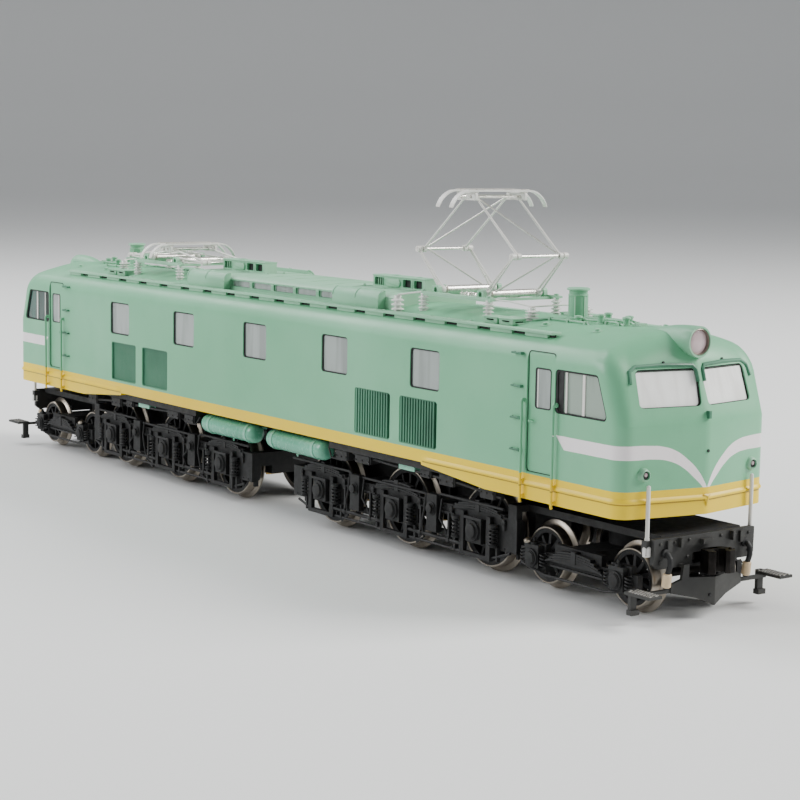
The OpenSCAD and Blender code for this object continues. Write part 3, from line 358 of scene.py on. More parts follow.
class Shape:
    """Collects vertices and faces of one piece, with a material number for each face."""

    def __init__(self):
        self.points = []
        self.faces = []
        self.slots = []

    def put(self, points, faces, slot=0):
        """Adds a closed part."""
        start = len(self.points)
        self.points.extend(tuple(p) for p in points)
        self.faces.extend(tuple(start + i for i in f) for f in faces)
        self.slots.extend([slot] * len(faces))

    def moved(self, matrix, slot=None):
        """A copy under a matrix."""
        out = Shape()
        out.points = [tuple(matrix @ Vector(p)) for p in self.points]
        flip = matrix.determinant() < 0
        out.faces = [tuple(reversed(f)) if flip else f for f in self.faces]
        out.slots = list(self.slots) if slot is None else [slot] * len(self.faces)
        return out

    def join(self, other):
        """Adds all of another shape."""
        start = len(self.points)
        self.points.extend(other.points)
        self.faces.extend(tuple(start + i for i in f) for f in other.faces)
        self.slots.extend(other.slots)

    def four_ways(self, part):
        """Adds a part on both sides of both ends."""
        for sx in (1, -1):
            for sy in (1, -1):
                self.join(part.moved(Matrix.Diagonal((sx, sy, 1, 1))))

    def block(self, low, high, slot=0):
        """A box between two corners."""
        (a, b, c), (d, e, f) = low, high
        pts = [(a, b, c), (d, b, c), (d, e, c), (a, e, c), (a, b, f), (d, b, f), (d, e, f), (a, e, f)]
        self.put(pts, BOX_FACES, slot)

    def put_mesh(self, mesh, slot=0):
        """Adds a finished mesh, which is in metres."""
        self.put([tuple(c / MM for c in v.co) for v in mesh.vertices], [tuple(p.vertices) for p in mesh.polygons], slot)

    def loft(self, rings, slot=0, capped=True):
        """Closed skin through rings of equal length, which turn counter-clockwise seen from the end."""
        n = len(rings[0])
        faces = []
        for k in range(len(rings) - 1):
            for i in range(n):
                j = (i + 1) % n
                faces.append((k * n + i, k * n + j, (k + 1) * n + j, (k + 1) * n + i))
        if capped:
            faces.append(tuple(reversed(range(n))))
            faces.append(tuple((len(rings) - 1) * n + i for i in range(n)))
        self.put([p for ring in rings for p in ring], faces, slot)

    def lathe(self, base, axis, profile, count=24, slot=0):
        """Turned part: profile pairs (distance along the axis, radius) from base."""
        axis = Vector(axis).normalized()
        side = axis.orthogonal().normalized()
        other = axis.cross(side)
        base = Vector(base)
        rings = []
        for along, radius in profile:
            rings.append([tuple(base + axis * along + (side * math.cos(t) + other * math.sin(t)) * max(radius, 1e-4))
                          for t in (2 * math.pi * i / count for i in range(count))])
        self.loft(rings, slot)

    def rod(self, a, b, radius, count=12, slot=0, end=None):
        """Round bar, tapering to radius end."""
        a, b = Vector(a), Vector(b)
        self.lathe(a, b - a, ((0, radius), ((b - a).length, end or radius)), count, slot)

    def pipe(self, path, radius, count=10, slot=0):
        """Tube of one radius along a path, with mitred bends."""
        path = [Vector(p) for p in path]
        rings = []
        side = None
        for i, p in enumerate(path):
            before = (p - path[i - 1]).normalized() if i else (path[1] - p).normalized()
            after = (path[i + 1] - p).normalized() if i < len(path) - 1 else before
            way = (before + after).normalized()
            side = way.orthogonal().normalized() if side is None else (side - way * side.dot(way)).normalized()
            other = way.cross(side)
            rings.append([tuple(p + (side * math.cos(t) + other * math.sin(t)) * radius)
                          for t in (2 * math.pi * k / count for k in range(count))])
        self.loft(rings, slot)

    def prism(self, outline, place, slot=0):
        """Solid between the two places that place(u, v, 0) and place(u, v, 1) give an outline."""
        self.loft([[place(u, v, 0) for u, v in outline], [place(u, v, 1) for u, v in outline]], slot)


BOX_FACES = ((0, 3, 2, 1), (4, 5, 6, 7), (0, 1, 5, 4), (1, 2, 6, 5), (2, 3, 7, 6), (3, 0, 4, 7))


def rounded(corners, radius, steps=5):
    """Outline with its corners rounded."""
    out = []
    n = len(corners)
    for i in range(n):
        p = Vector(corners[i])
        a = (Vector(corners[i - 1]) - p).normalized()
        b = (Vector(corners[(i + 1) % n]) - p).normalized()
        half = a.angle(b) / 2
        reach = radius / math.tan(half)
        centre = p + (a + b).normalized() * (radius / math.sin(half))
        start, stop = p + a * reach - centre, p + b * reach - centre
        turn = start.angle_signed(stop)
        for k in range(steps + 1):
            c, s = math.cos(-turn * k / steps), math.sin(-turn * k / steps)
            out.append(tuple(centre + Vector((start.x * c - start.y * s, start.x * s + start.y * c))))
    return out


def rect(x0, z0, x1, z1, radius):
    """Rounded rectangle outline."""
    return rounded([(x0, z0), (x1, z0), (x1, z1), (x0, z1)], radius)


def wall_place(y0, y1):
    """Places an (x, z) outline upright between two distances from the middle."""
    return lambda u, v, w: (u, y0 + (y1 - y0) * w, v)


def to_mesh(shape, name):
    """Mesh of a shape in metres, doubles merged and faces turned outwards."""
    mesh = bpy.data.meshes.new(name)
    mesh.from_pydata([tuple(c * MM for c in p) for p in shape.points], [], shape.faces)
    mesh.polygons.foreach_set("material_index", shape.slots)
    work = bmesh.new()
    work.from_mesh(mesh)
    bmesh.ops.recalc_face_normals(work, faces=work.faces)
    work.to_mesh(mesh)
    work.free()
    return mesh


def plain(obj):
    """The object with its modifiers worked into its mesh."""
    graph = bpy.context.evaluated_depsgraph_get()
    mesh = bpy.data.meshes.new_from_object(obj.evaluated_get(graph))
    obj.modifiers.clear()
    obj.data = mesh
    return obj


def smooth(obj, degrees):
    """Smooth shading with sharp edges above an angle."""
    obj.data.polygons.foreach_set("use_smooth", [True] * len(obj.data.polygons))
    obj.data.set_sharp_from_angle(angle=math.radians(degrees))


def piece(name, shape, mats, body="root", stands=(), bevel=0.0, angle=35):
    """Makes one visible piece on a body, standing for CAD nodes if named."""
    obj = bpy.data.objects.new(name, to_mesh(shape, name) if isinstance(shape, Shape) else shape)
    bpy.context.scene.collection.objects.link(obj)
    slots = [p.material_index for p in obj.data.polygons]
    obj.data.materials.clear()
    for mat in mats:
        obj.data.materials.append(MATS[mat])
    obj.data.polygons.foreach_set("material_index", slots)
    if bevel:
        made = obj.modifiers.new("soft_edges", "BEVEL")
        made.width = bevel * MM
        made.segments = 2
        made.limit_method = "ANGLE"
        made.angle_limit = math.radians(40)
        plain(obj)
    smooth(obj, angle)
    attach(obj, body)
    if stands:
        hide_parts(*stands)
    return obj


# ---- body shell ----

def soft_max(a, b, r):
    """The larger of two distances, rounded by r where they meet."""
    return np.where((a > -r) & (b > -r), np.hypot(np.maximum(a + r, 0), np.maximum(b + r, 0)) - r,
                    np.maximum(a, b))


def form(p):
    """Distance outside the body's form for points in millimetres."""
    ax, ay, z = np.abs(p[..., 0]), np.abs(p[..., 1]), p[..., 2]
    side = ay - HALF_W
    roof = np.hypot(ay, z - ROOF_CZ) - ROOF_R
    vee = (ax - HALF_L) * math.cos(VEE) + ay * math.sin(VEE)
    lean = vee * math.cos(RAKE) + (z - CREASE_Z) * math.sin(RAKE)
    nose = soft_max(vee, lean, 0.3)
    blend = np.clip((nose - side) / 7 + 0.5, 0, 1)
    return soft_max(soft_max(side, nose, CORNER_R), roof, EAVES_R + (BROW_R - EAVES_R) * blend)


def cast(origin, way, depth=0.0, swell=None):
    """Points where rays from inside reach the form's surface."""
    low = np.zeros(origin.shape[:-1])
    high = np.full(origin.shape[:-1], 80.0)
    for _ in range(34):
        mid = (low + high) / 2
        p = origin + way * mid[..., None]
        inside = form(p) + depth < (swell(p) if swell else 0.0)
        low = np.where(inside, mid, low)
        high = np.where(inside, high, mid)
    return origin + way * low[..., None]


FAN_X = 102.0
RAMP = ((60.2, SKIRT_Z), (60.25, SKIRT_Z - 0.5), (62.5, SKIRT_Z - 0.7), (79.6, DEEP_Z))


def skirt_level(x):
    """Height of the shell's lower edge."""
    return np.interp(np.abs(x), [r[0] for r in RAMP], [r[1] for r in RAMP])


def ridge_swell(p):
    """Raised moulding along the deep skirts."""
    z = p[..., 2]
    shape = np.clip((z - RIDGE_LOW) / 0.12, 0, 1) * np.clip((RIDGE_HIGH - z) / 0.5, 0, 1)
    return 0.34 * shape * np.clip((np.abs(p[..., 0]) - 60.4) / 1.0, 0, 1)


def shell_columns():
    """Base point, direction and skirt height of each upright column round the body."""
    marks = {round(s * x, 3) for x, _ in RAMP for s in (1, -1)}
    run = np.array(sorted(marks | {round(v, 3) for v in np.linspace(-FAN_X, FAN_X, 103)}))
    turn = np.radians(np.concatenate([np.linspace(-90, -36, 37), np.linspace(-34.5, 0, 13)]))
    fan = np.concatenate([turn, -turn[-2::-1]])[1:-1]
    base, way = [], []
    for s, xs, angles in ((-1, run, fan), (1, run[::-1], fan + math.pi)):
        base += [(x, 0) for x in xs] + [(FAN_X * -s, 0)] * len(angles)
        way += [(0, s) for _ in xs] + [(math.cos(t), math.sin(t)) for t in angles]
    base, way = np.array(base, float), np.array(way, float)
    reach = base[:, 0] + np.where(np.abs(base[:, 0]) >= FAN_X, way[:, 0] * 20, 0)
    return base, way, skirt_level(reach)


def shell_skin(depth, levels, angles, swell=None):
    """Grid of points over the form: lower rows by height, upper rows by angle, and a top point."""
    base, way, foot = shell_columns()
    rows = []
    for level in levels:
        z = foot if level is None else (foot * (1 - level) + levels[-1] * level if level < 1
                                        else np.full(len(foot), level))
        origin = np.column_stack([base, z])
        rows.append(cast(origin, np.column_stack([way, np.zeros(len(way))]), depth, swell))
    origin = np.column_stack([base, np.full(len(base), CREASE_Z)])
    for a in angles:
        c, s = math.cos(math.radians(a)), math.sin(math.radians(a))
        rows.append(cast(origin, np.column_stack([way * c, np.full(len(way), s)]), depth))
    return np.array(rows)


def body_solid():
    """The open-bottomed shell, outer and inner skins joined at the lower edge."""
    fine = np.concatenate([np.linspace(3, 27, 9), np.linspace(28.5, 50, 26), np.linspace(52, 88, 19), [90]])
    outer = shell_skin(0.0, [None, RAIL + 19.3, RIDGE_LOW, RAIL + 19.45, RAIL + 19.6, RAIL + 19.8, RAIL + 20.0,
                             RAIL + 20.15, RIDGE_HIGH, RAIL + 21, RAIL + 23, RAIL + 25, RAIL + 27, RAIL + 29,
                             RAIL + 31, CREASE_Z - 0.15, CREASE_Z], fine, ridge_swell)
    outer[1:, :, 2] = np.maximum(outer[1:, :, 2], outer[0, :, 2] + 0.002 * np.arange(1, len(outer))[:, None])
    inner = shell_skin(WALL, [None, RAIL + 24, CREASE_Z], np.concatenate([np.linspace(8, 84, 20), [90]]))
    inner[0, :, 2] = outer[0, :, 2]
    shape = Shape()
    n = outer.shape[1]
    for rows, flip in ((outer, False), (inner, True)):
        faces = []
        for k in range(len(rows) - 1):
            for i in range(n):
                j = (i + 1) % n
                quad = (k * n + i, k * n + j, (k + 1) * n + j, (k + 1) * n + i)
                faces.append(quad[::-1] if flip else quad)
        shape.put(rows.reshape(-1, 3), faces)
    start = len(outer) * n
    for i in range(n):
        j = (i + 1) % n
        shape.faces.append((j, i, start + i, start + j))
        shape.slots.append(0)
    mesh = bpy.data.meshes.new("shell")
    mesh.from_pydata([tuple(c * MM for c in p) for p in shape.points], [], shape.faces)
    work = bmesh.new()
    work.from_mesh(mesh)
    bmesh.ops.remove_doubles(work, verts=work.verts, dist=1e-6)
    bmesh.ops.dissolve_degenerate(work, edges=work.edges, dist=1e-7)
    bmesh.ops.recalc_face_normals(work, faces=work.faces)
    work.to_mesh(mesh)
    work.free()
    return mesh


def screen_place(inner, outer, side):
    """Places an outline on one leaning windscreen plane, between two depths."""
    turn = Matrix.Rotation(VEE, 4, "Z") @ Matrix.Rotation(-RAKE, 4, "Y")

    def at(u, v, w):
        p = turn @ Vector((-(inner + (outer - inner) * w), u, v))
        return (p.x + HALF_L, p.y * side, p.z + CREASE_Z)
    return at


CAB_WINDOW = [(98.7, SILL_Z), (112.5, SILL_Z), (109.7, SILL_Z + 7.75), (98.7, SILL_Z + 7.75)]
SCREEN = [(1.0, 2.95), (13.6, 2.95), (13.55, 9.65), (0.85, 9.65)]
WINDOW_X = [i * 30.4 for i in range(-2, 3)]
PANEL_X = [s * x for s in (1, -1) for x in (43.8, 58.9)]
DOOR = (91.1, RAIL + 21.8, 98.5, RAIL + 43.5)
DOOR_WINDOW = (93.0, SILL_Z + 0.2, 97.3, SILL_Z + 7.5)


def cut_away(obj, cutter):
    """Takes a cutter shape away from an object."""
    tool = bpy.data.objects.new("cutter", to_mesh(cutter, "cutter"))
    bpy.context.scene.collection.objects.link(tool)
    made = obj.modifiers.new("cut", "BOOLEAN")
    made.object = tool
    made.operation = "DIFFERENCE"
    made.solver = "MANIFOLD"
    plain(obj)
    bpy.data.objects.remove(tool)


def shell_cutters():
    """Everything that is cut out of the shell: the door recesses, then the openings."""
    doors, cut = Shape(), Shape()
    recess = Shape()
    recess.prism(rect(*DOOR, 0.8), wall_place(HALF_W - 0.35, HALF_W + 1))
    doors.four_ways(recess)
    for s in (1, -1):
        near, far = s * (HALF_W - 3), s * (HALF_W + 1)
        for x in WINDOW_X:
            cut.prism(rect(x - 4.65, SILL_Z, x + 4.65, SILL_Z + 7.7, 0.75), wall_place(near, far))
        for x in PANEL_X:
            cut.prism(rect(x - 6, RAIL + 22, x + 6, RAIL + 31.2, 0.6), wall_place(near, far))
    corner = Shape()
    corner.prism(rect(*DOOR_WINDOW, 0.6), wall_place(HALF_W - 3, HALF_W + 1))
    corner.prism(rounded(CAB_WINDOW, 0.8), wall_place(HALF_W - 3, HALF_W + 1))
    corner.prism(rounded(SCREEN, 0.9), screen_place(-2, 3, 1))
    cut.four_ways(corner)
    return doors, cut


def build_shell():
    """Shell with all its openings."""
    obj = bpy.data.objects.new("body_skin", body_solid())
    bpy.context.scene.collection.objects.link(obj)
    for cutter in shell_cutters():
        cut_away(obj, cutter)
    mesh = obj.data
    bpy.data.objects.remove(obj)
    return piece("body_skin", mesh, ["body"], stands=["body_shell"], angle=32)


# ---- camera, floor and light ----

def camera():
    """Three-quarter view from the front and slightly above."""
    a, e, roll = math.radians(53.762), math.radians(7.296), math.radians(0.941)
    back = Vector((math.sin(a) * math.cos(e), -math.cos(a) * math.cos(e), math.sin(e)))
    right = Vector((math.cos(a), math.sin(a), 0))
    up = back.cross(right)
    r2 = math.cos(roll) * right + math.sin(roll) * up
    u2 = -math.sin(roll) * right + math.cos(roll) * up
    data = bpy.data.cameras.new("camera")
    data.sensor_width = 36.0
    data.lens = 1963.26 / 800 * 36.0
    data.clip_start = 0.01
    obj = bpy.data.objects.new("camera", data)
    bpy.context.scene.collection.objects.link(obj)
    place = Matrix((r2, u2, back)).transposed().to_4x4()
    place.translation = Vector((0.35648, -0.23985, 0.07940))
    obj.matrix_world = place
    bpy.context.scene.camera = obj


def light(name, spot, aim, size, power, tint):
    """A soft square lamp aimed at a point."""
    data = bpy.data.lights.new(name, "AREA")
    data.shape = "SQUARE"
    data.size = size
    data.energy = power
    data.color = tint
    obj = bpy.data.objects.new(name, data)
    bpy.context.scene.collection.objects.link(obj)
    obj.location = spot
    obj.rotation_euler = (Vector(aim) - Vector(spot)).to_track_quat("-Z", "Y").to_euler()


def studio():
    """Plain pale floor that curves up into a pale wall all round, soft lamps and a pale surrounding."""
    shape = Shape()
    rings = [(0.01, 0), (2600, 0), (3000, 40), (3300, 160), (3480, 380), (3550, 700), (3560, 2200)]
    points = [(r * math.cos(t), r * math.sin(t), z) for r, z in rings
              for t in np.linspace(0, 2 * math.pi, 97)[:-1]]
    faces = [(k * 96 + i, k * 96 + (i + 1) % 96, (k + 1) * 96 + (i + 1) % 96, (k + 1) * 96 + i)
             for k in range(len(rings) - 1) for i in range(96)]
    shape.put(points, [f[::-1] for f in faces])
    floor = bpy.data.objects.new("floor", to_mesh(shape, "floor"))
    bpy.context.scene.collection.objects.link(floor)
    smooth(floor, 40)
    mat, _, skin, _ = new_material("pale_matt_backdrop")
    skin.inputs["Base Color"].default_value = paint("E3E4E4")
    skin.inputs["Roughness"].default_value = 0.8
    floor.data.materials.clear()
    floor.data.materials.append(mat)
    light("key", (0.5, 0.72, 0.62), (0.06, 0, 0.02), 0.5, 16.0, (1.0, 0.985, 0.95))
    light("side", (-0.5, -0.75, 0.5), (-0.03, 0, 0.02), 0.5, 6.8, (0.98, 0.99, 1.0))
    light("rear", (-0.6, -0.15, 0.65), (-0.1, 0, 0.02), 0.5, 5.5, (1.0, 1.0, 1.0))
    world = bpy.data.worlds.new("soft_room")
    bpy.context.scene.world = world
    world.use_nodes = True
    world.node_tree.nodes["Background"].inputs["Color"].default_value = paint("F2F4F6")
    world.node_tree.nodes["Background"].inputs["Strength"].default_value = 0.55


def dress(nodes, mat):
    """A better material on carried-over CAD nodes."""
    for name in nodes:
        NODES[name].data.materials.clear()
        NODES[name].data.materials.append(MATS[mat])


# ---- repeating shapes ----

def repeat_tree():
    """Node tree that repeats the given part along a step."""
    tree = bpy.data.node_groups.new("row_of_parts", "GeometryNodeTree")
    face = tree.interface
    face.new_socket("Part", in_out="INPUT", socket_type="NodeSocketGeometry")
    face.new_socket("Count", in_out="INPUT", socket_type="NodeSocketInt")
    face.new_socket("Step", in_out="INPUT", socket_type="NodeSocketVector")
    face.new_socket("Finish", in_out="INPUT", socket_type="NodeSocketMaterial")
    face.new_socket("Row", in_out="OUTPUT", socket_type="NodeSocketGeometry")
    given = add(tree, "NodeGroupInput")
    line = add(tree, "GeometryNodeMeshLine", {"Count": given.outputs["Count"], "Offset": given.outputs["Step"]})
    placed = add(tree, "GeometryNodeInstanceOnPoints", {"Points": line.outputs["Mesh"],
                                                        "Instance": given.outputs["Part"]})
    real = add(tree, "GeometryNodeRealizeInstances", {"Geometry": placed.outputs["Instances"]})
    done = add(tree, "GeometryNodeSetMaterial", {"Geometry": real.outputs["Geometry"],
                                                 "Material": given.outputs["Finish"]})
    add(tree, "NodeGroupOutput", {"Row": done.outputs["Geometry"]})
    return tree


ROW_TREE = repeat_tree()


def row(part, count, step, slot=0, mat="green"):
    """A row of equal parts, made by the node tree and returned as a shape."""
    obj = bpy.data.objects.new("row", to_mesh(part, "row"))
    bpy.context.scene.collection.objects.link(obj)
    made = obj.modifiers.new("row", "NODES")
    made.node_group = ROW_TREE
    values = {"Count": count, "Step": [c * MM for c in step], "Finish": MATS[mat]}
    for item in ROW_TREE.interface.items_tree:
        if item.item_type == "SOCKET" and item.in_out == "INPUT" and item.name in values:
            made[item.identifier] = values[item.name]
    plain(obj)
    mesh = obj.data
    out = Shape()
    spots = np.empty(len(mesh.vertices) * 3)
    mesh.vertices.foreach_get("co", spots)
    out.put((spots.reshape(-1, 3) / MM).tolist(), [tuple(p.vertices) for p in mesh.polygons], slot)
    bpy.data.objects.remove(obj)
    return out


def carved(solid, cut, name):
    """Mesh of a solid with a cutter taken away."""
    obj = bpy.data.objects.new(name, to_mesh(solid, name))
    bpy.context.scene.collection.objects.link(obj)
    cut_away(obj, cut)
    mesh = obj.data
    bpy.data.objects.remove(obj)
    return mesh


def box_part(low, high, slot=0):
    """One block as a shape."""
    out = Shape()
    out.block(low, high, slot)
    return out


def stud(at, axis, radius, height, count=8, slot=0):
    """Rivet or bolt head."""
    out = Shape()
    out.lathe(at, axis, ((-0.1, radius), (height * 0.6, radius), (height, radius * 0.6)), count, slot)
    return out


def loop_turned(shape, base, axis, loop, count, slot=0):
    """Ring turned from a closed outline of (distance along the axis, radius) pairs."""
    axis = Vector(axis).normalized()
    side = axis.orthogonal().normalized()
    other = axis.cross(side)
    base = Vector(base)
    n = len(loop)
    points, faces = [], []
    for i in range(count):
        t = 2 * math.pi * i / count
        out = side * math.cos(t) + other * math.sin(t)
        points += [tuple(base + axis * a + out * r) for a, r in loop]
    for i in range(count):
        for k in range(n):
            a, b = i * n + k, i * n + (k + 1) % n
            c, d = ((i + 1) % count) * n + (k + 1) % n, ((i + 1) % count) * n + k
            faces.append((a, b, c, d))
    shape.put(points, faces, slot)


def surface_point(y, z, end=1, lift=0.0):
    """Point on the nose at y and z, lifted off the surface."""
    p = cast(np.array([[60.0, y, z]]), np.array([[1.0, 0.0, 0.0]]))[0]
    return (end * (p[0] + lift), y, z)


# ---- roof ----

MONITOR_HALF = 41.0
MONITOR_Y = 10.3
MONITOR_TOP = RAIL + 49.6
MONITOR_SIDE = RAIL + 48.9
MONITOR_PITCH = 8.8


def roof_monitor():
    """Raised roof centre with framed side lights, cross ribs and rivets."""
    foot = roof_z(MONITOR_Y) - 0.4
    y, top = MONITOR_Y, MONITOR_TOP
    outline = [(y, foot), (y, MONITOR_SIDE), (y - 0.45, MONITOR_SIDE + 0.33), (y - 1.4, top - 0.1), (4, top + 0.14),
               (0, top + 0.2)]
    outline += [(-a, b) for a, b in outline[-2::-1]]
    solid = Shape()
    solid.prism(outline, lambda u, v, w: (MONITOR_HALF * (2 * w - 1), u, v))
    cut = Shape()
    for s in (1, -1):
        for i in range(-2, 3):
            cut.prism(rect(i * MONITOR_PITCH - 3.9, foot + 1.1, i * MONITOR_PITCH + 3.9, MONITOR_SIDE - 0.35, 0.3),
                      wall_place(s * (y - 0.55), s * (y + 1)))
    piece("roof_monitor_skin", carved(solid, cut, "roof_monitor_skin"), ["green"],
          stands=["roof_monitor"], angle=25)
    panes = Shape()
    trim = Shape()
    for s in (1, -1):
        for i in range(-2, 3):
            x = i * MONITOR_PITCH
            panes.block((x - 3.85, s * (y - 0.5), foot + 1.15), (x + 3.85, s * (y - 0.4), MONITOR_SIDE - 0.4))
            for dx in (-3.6, 3.45):
                trim.block((x + dx, s * (y - 0.42), foot + 1.15), (x + dx + 0.15, s * (y - 0.3), MONITOR_SIDE - 0.4))
    for x in np.arange(-36, 37, 8.0):
        rib = [(-9, top - 0.1), (-4, top + 0.26), (4, top + 0.26), (9, top - 0.1), (9, top - 0.2), (-9, top - 0.2)]
        trim.prism(rib, lambda u, v, w, x=x: (x - 0.2 + 0.4 * w, u, v))
    for s in (1, -1):
        trim.join(row(stud((-40, s * y, MONITOR_SIDE - 0.16), (0, s, 0), 0.13, 0.1, 6), 41, (2, 0, 0)))
        trim.join(row(stud((-19, s * 2.2, top + 0.15), (0, 0, 1), 0.35, 0.5, 8), 2, (38, 0, 0)))
    piece("roof_monitor_panes", panes, ["pane"])
    piece("roof_monitor_trim", trim, ["green"])


def roof_vents():
    """Vent housings on the monitor, rolled side hoods and the low boxes by the pantographs."""
    green, dark = Shape(), Shape()
    base = MONITOR_TOP + 0.1
    top = RAIL + 52.2
    solid, cut = Shape(), Shape()
    for c in (-30.35, 30.35):
        solid.block((c - 9.1, -1.6, base), (c + 9.1, 1.6, top))
        for s in (1, -1):
            for x, w in ((-6.9, 3.3), (2.8, 2.7), (6.6, 2.7)):
                cut.prism(rect(c + x - w / 2, base + 0.45, c + x + w / 2, top - 0.45, 0.2),
                          wall_place(s * 0.9, s * 2.6))
                # painted shade: black plates at the back of the louvre recesses stand for the shade inside the vents
                dark.block((c + x - w / 2 - 0.2, s * 0.6, base + 0.3), (c + x + w / 2 + 0.2, s * 0.94, top - 0.3))
            green.join(row(box_part((c - 7.8, s * 1.05, base + 0.4), (c - 7.55, s * 1.35, top - 0.4)), 3, (0.8, 0, 0)))
            green.prism(rect(c - 4.4, base + 0.35, c + 0.6, top - 0.5, 0.8), wall_place(s * 1.5, s * 1.85))
            green.block((c - 9.2, s * 1.5, top - 0.16), (c + 9.2, s * 1.74, top + 0.06))
            green.block((c + 4.55, s * 1.5, base + 0.4), (c + 4.85, s * 1.7, top - 0.4))
        green.block((c - 9.2, -1.65, top - 0.05), (c + 9.2, 1.65, top + 0.1))
        green.lathe((c - 3, 0, top), (0, 0, 1), ((0, 1.2), (0.2, 1.1), (0.3, 0.5)), 20)
        green.lathe((c + 5, 0, top), (0, 0, 1), ((0, 0.8), (0.2, 0.7), (0.28, 0.3)), 16)
    hood = Shape()
    bend = 1.87
    hood_top = MONITOR_TOP + 0.6
    centre = hood_top - bend
    arc = [(10.35 + bend * math.cos(t), centre + bend * math.sin(t)) for t in np.radians(np.linspace(86, 4, 14))]
    section = [(10.2, roof_z(10.3) - 0.3), (10.2, hood_top - 0.04)] + arc + [(12.2, roof_z(12.2) - 0.25)]
    hood.prism(section, lambda u, v, w: (21.6 + 16.2 * w, u, v))
    rim = [(10.35 + (p[0] - 10.35) * 1.07, centre + (p[1] - centre) * 1.07) for p in arc]
    strip = rim + [(p[0] - 0.25, p[1] - 0.25) for p in reversed(rim)]
    for x in (21.5, 29.6, 37.55):
        hood.prism(strip, lambda u, v, w, x=x: (x + 0.35 * w, u, v))
    for x in (70.2, 74.8):
        hood.prism(rect(x, roof_z(9.5) - 0.3, x + 4.1, RAIL + 47.7, 0.35), lambda u, v, w: (u, 8 + 3 * w, v))
        hood.block((x - 0.15, 7.85, RAIL + 47.5), (x + 4.25, 11.15, RAIL + 47.75))
    hood.block((69.9, 8.6, roof_z(9.5) - 0.2), (79.6, 10.2, RAIL + 46.9))
    green.four_ways(hood)
    # painted shade: black plates on the hoods' sides and ends stand for the shade inside their openings
    mouths = Shape()
    for x in (70.15, 74.75):
        for s in (7.9, 11.0):
            mouths.prism(rect(x + 1.1, roof_z(9.5) + 0.35, x + 3.1, RAIL + 47.3, 0.2),
                         lambda u, v, w, s=s: (u, s - 0.03 + 0.12 * w, v))
    mouths.prism(rect(8.6, roof_z(9.5) + 0.3, 10.4, RAIL + 47.2, 0.2), lambda u, v, w: (78.86 + 0.1 * w, u, v))
    dark.four_ways(mouths)
    piece("roof_vent_boxes", carved(solid, cut, "roof_vent_boxes"), ["green"],
          stands=["roof_vents"], angle=30)
    piece("roof_vent_trim", green, ["green"], bevel=0.07)
    piece("roof_vent_shade_plates", dark, ["rubber"])


def running_boards():
    """Walkway planks on brackets along both roof edges, with a black strip of painted shadow under them."""
    boards = Shape()
    z = roof_z(13.4) + 0.55
    for s in (1, -1):
        boards.block((-94, s * 12.3, z), (94, s * 14.4, z + 0.42))
        bracket = box_part((-94, s * 12.7, roof_z(12.8) - 0.35), (-87.8, s * 14.0, z + 0.1))
        boards.join(row(bracket, 19, (10, 0, 0)))
        # painted shadow: a black strip under each board, between the brackets, stands for the shade in the gap
        boards.block((-93.5, s * 13.0, roof_z(13.0) - 0.2), (93.5, s * 13.4, z + 0.05), 1)
        boards.join(row(stud((-93.2, s * 13.95, z + 0.4), (0, 0, 1), 0.14, 0.12, 6), 38, (5, 0, 0)))
        boards.join(row(box_part((-94, s * 12.25, z + 0.3), (-93.7, s * 14.45, z + 0.5)), 8, (26.81, 0, 0)))
    piece("roof_walkways", boards, ["green", "black"], stands=["running_boards"], bevel=0.06)


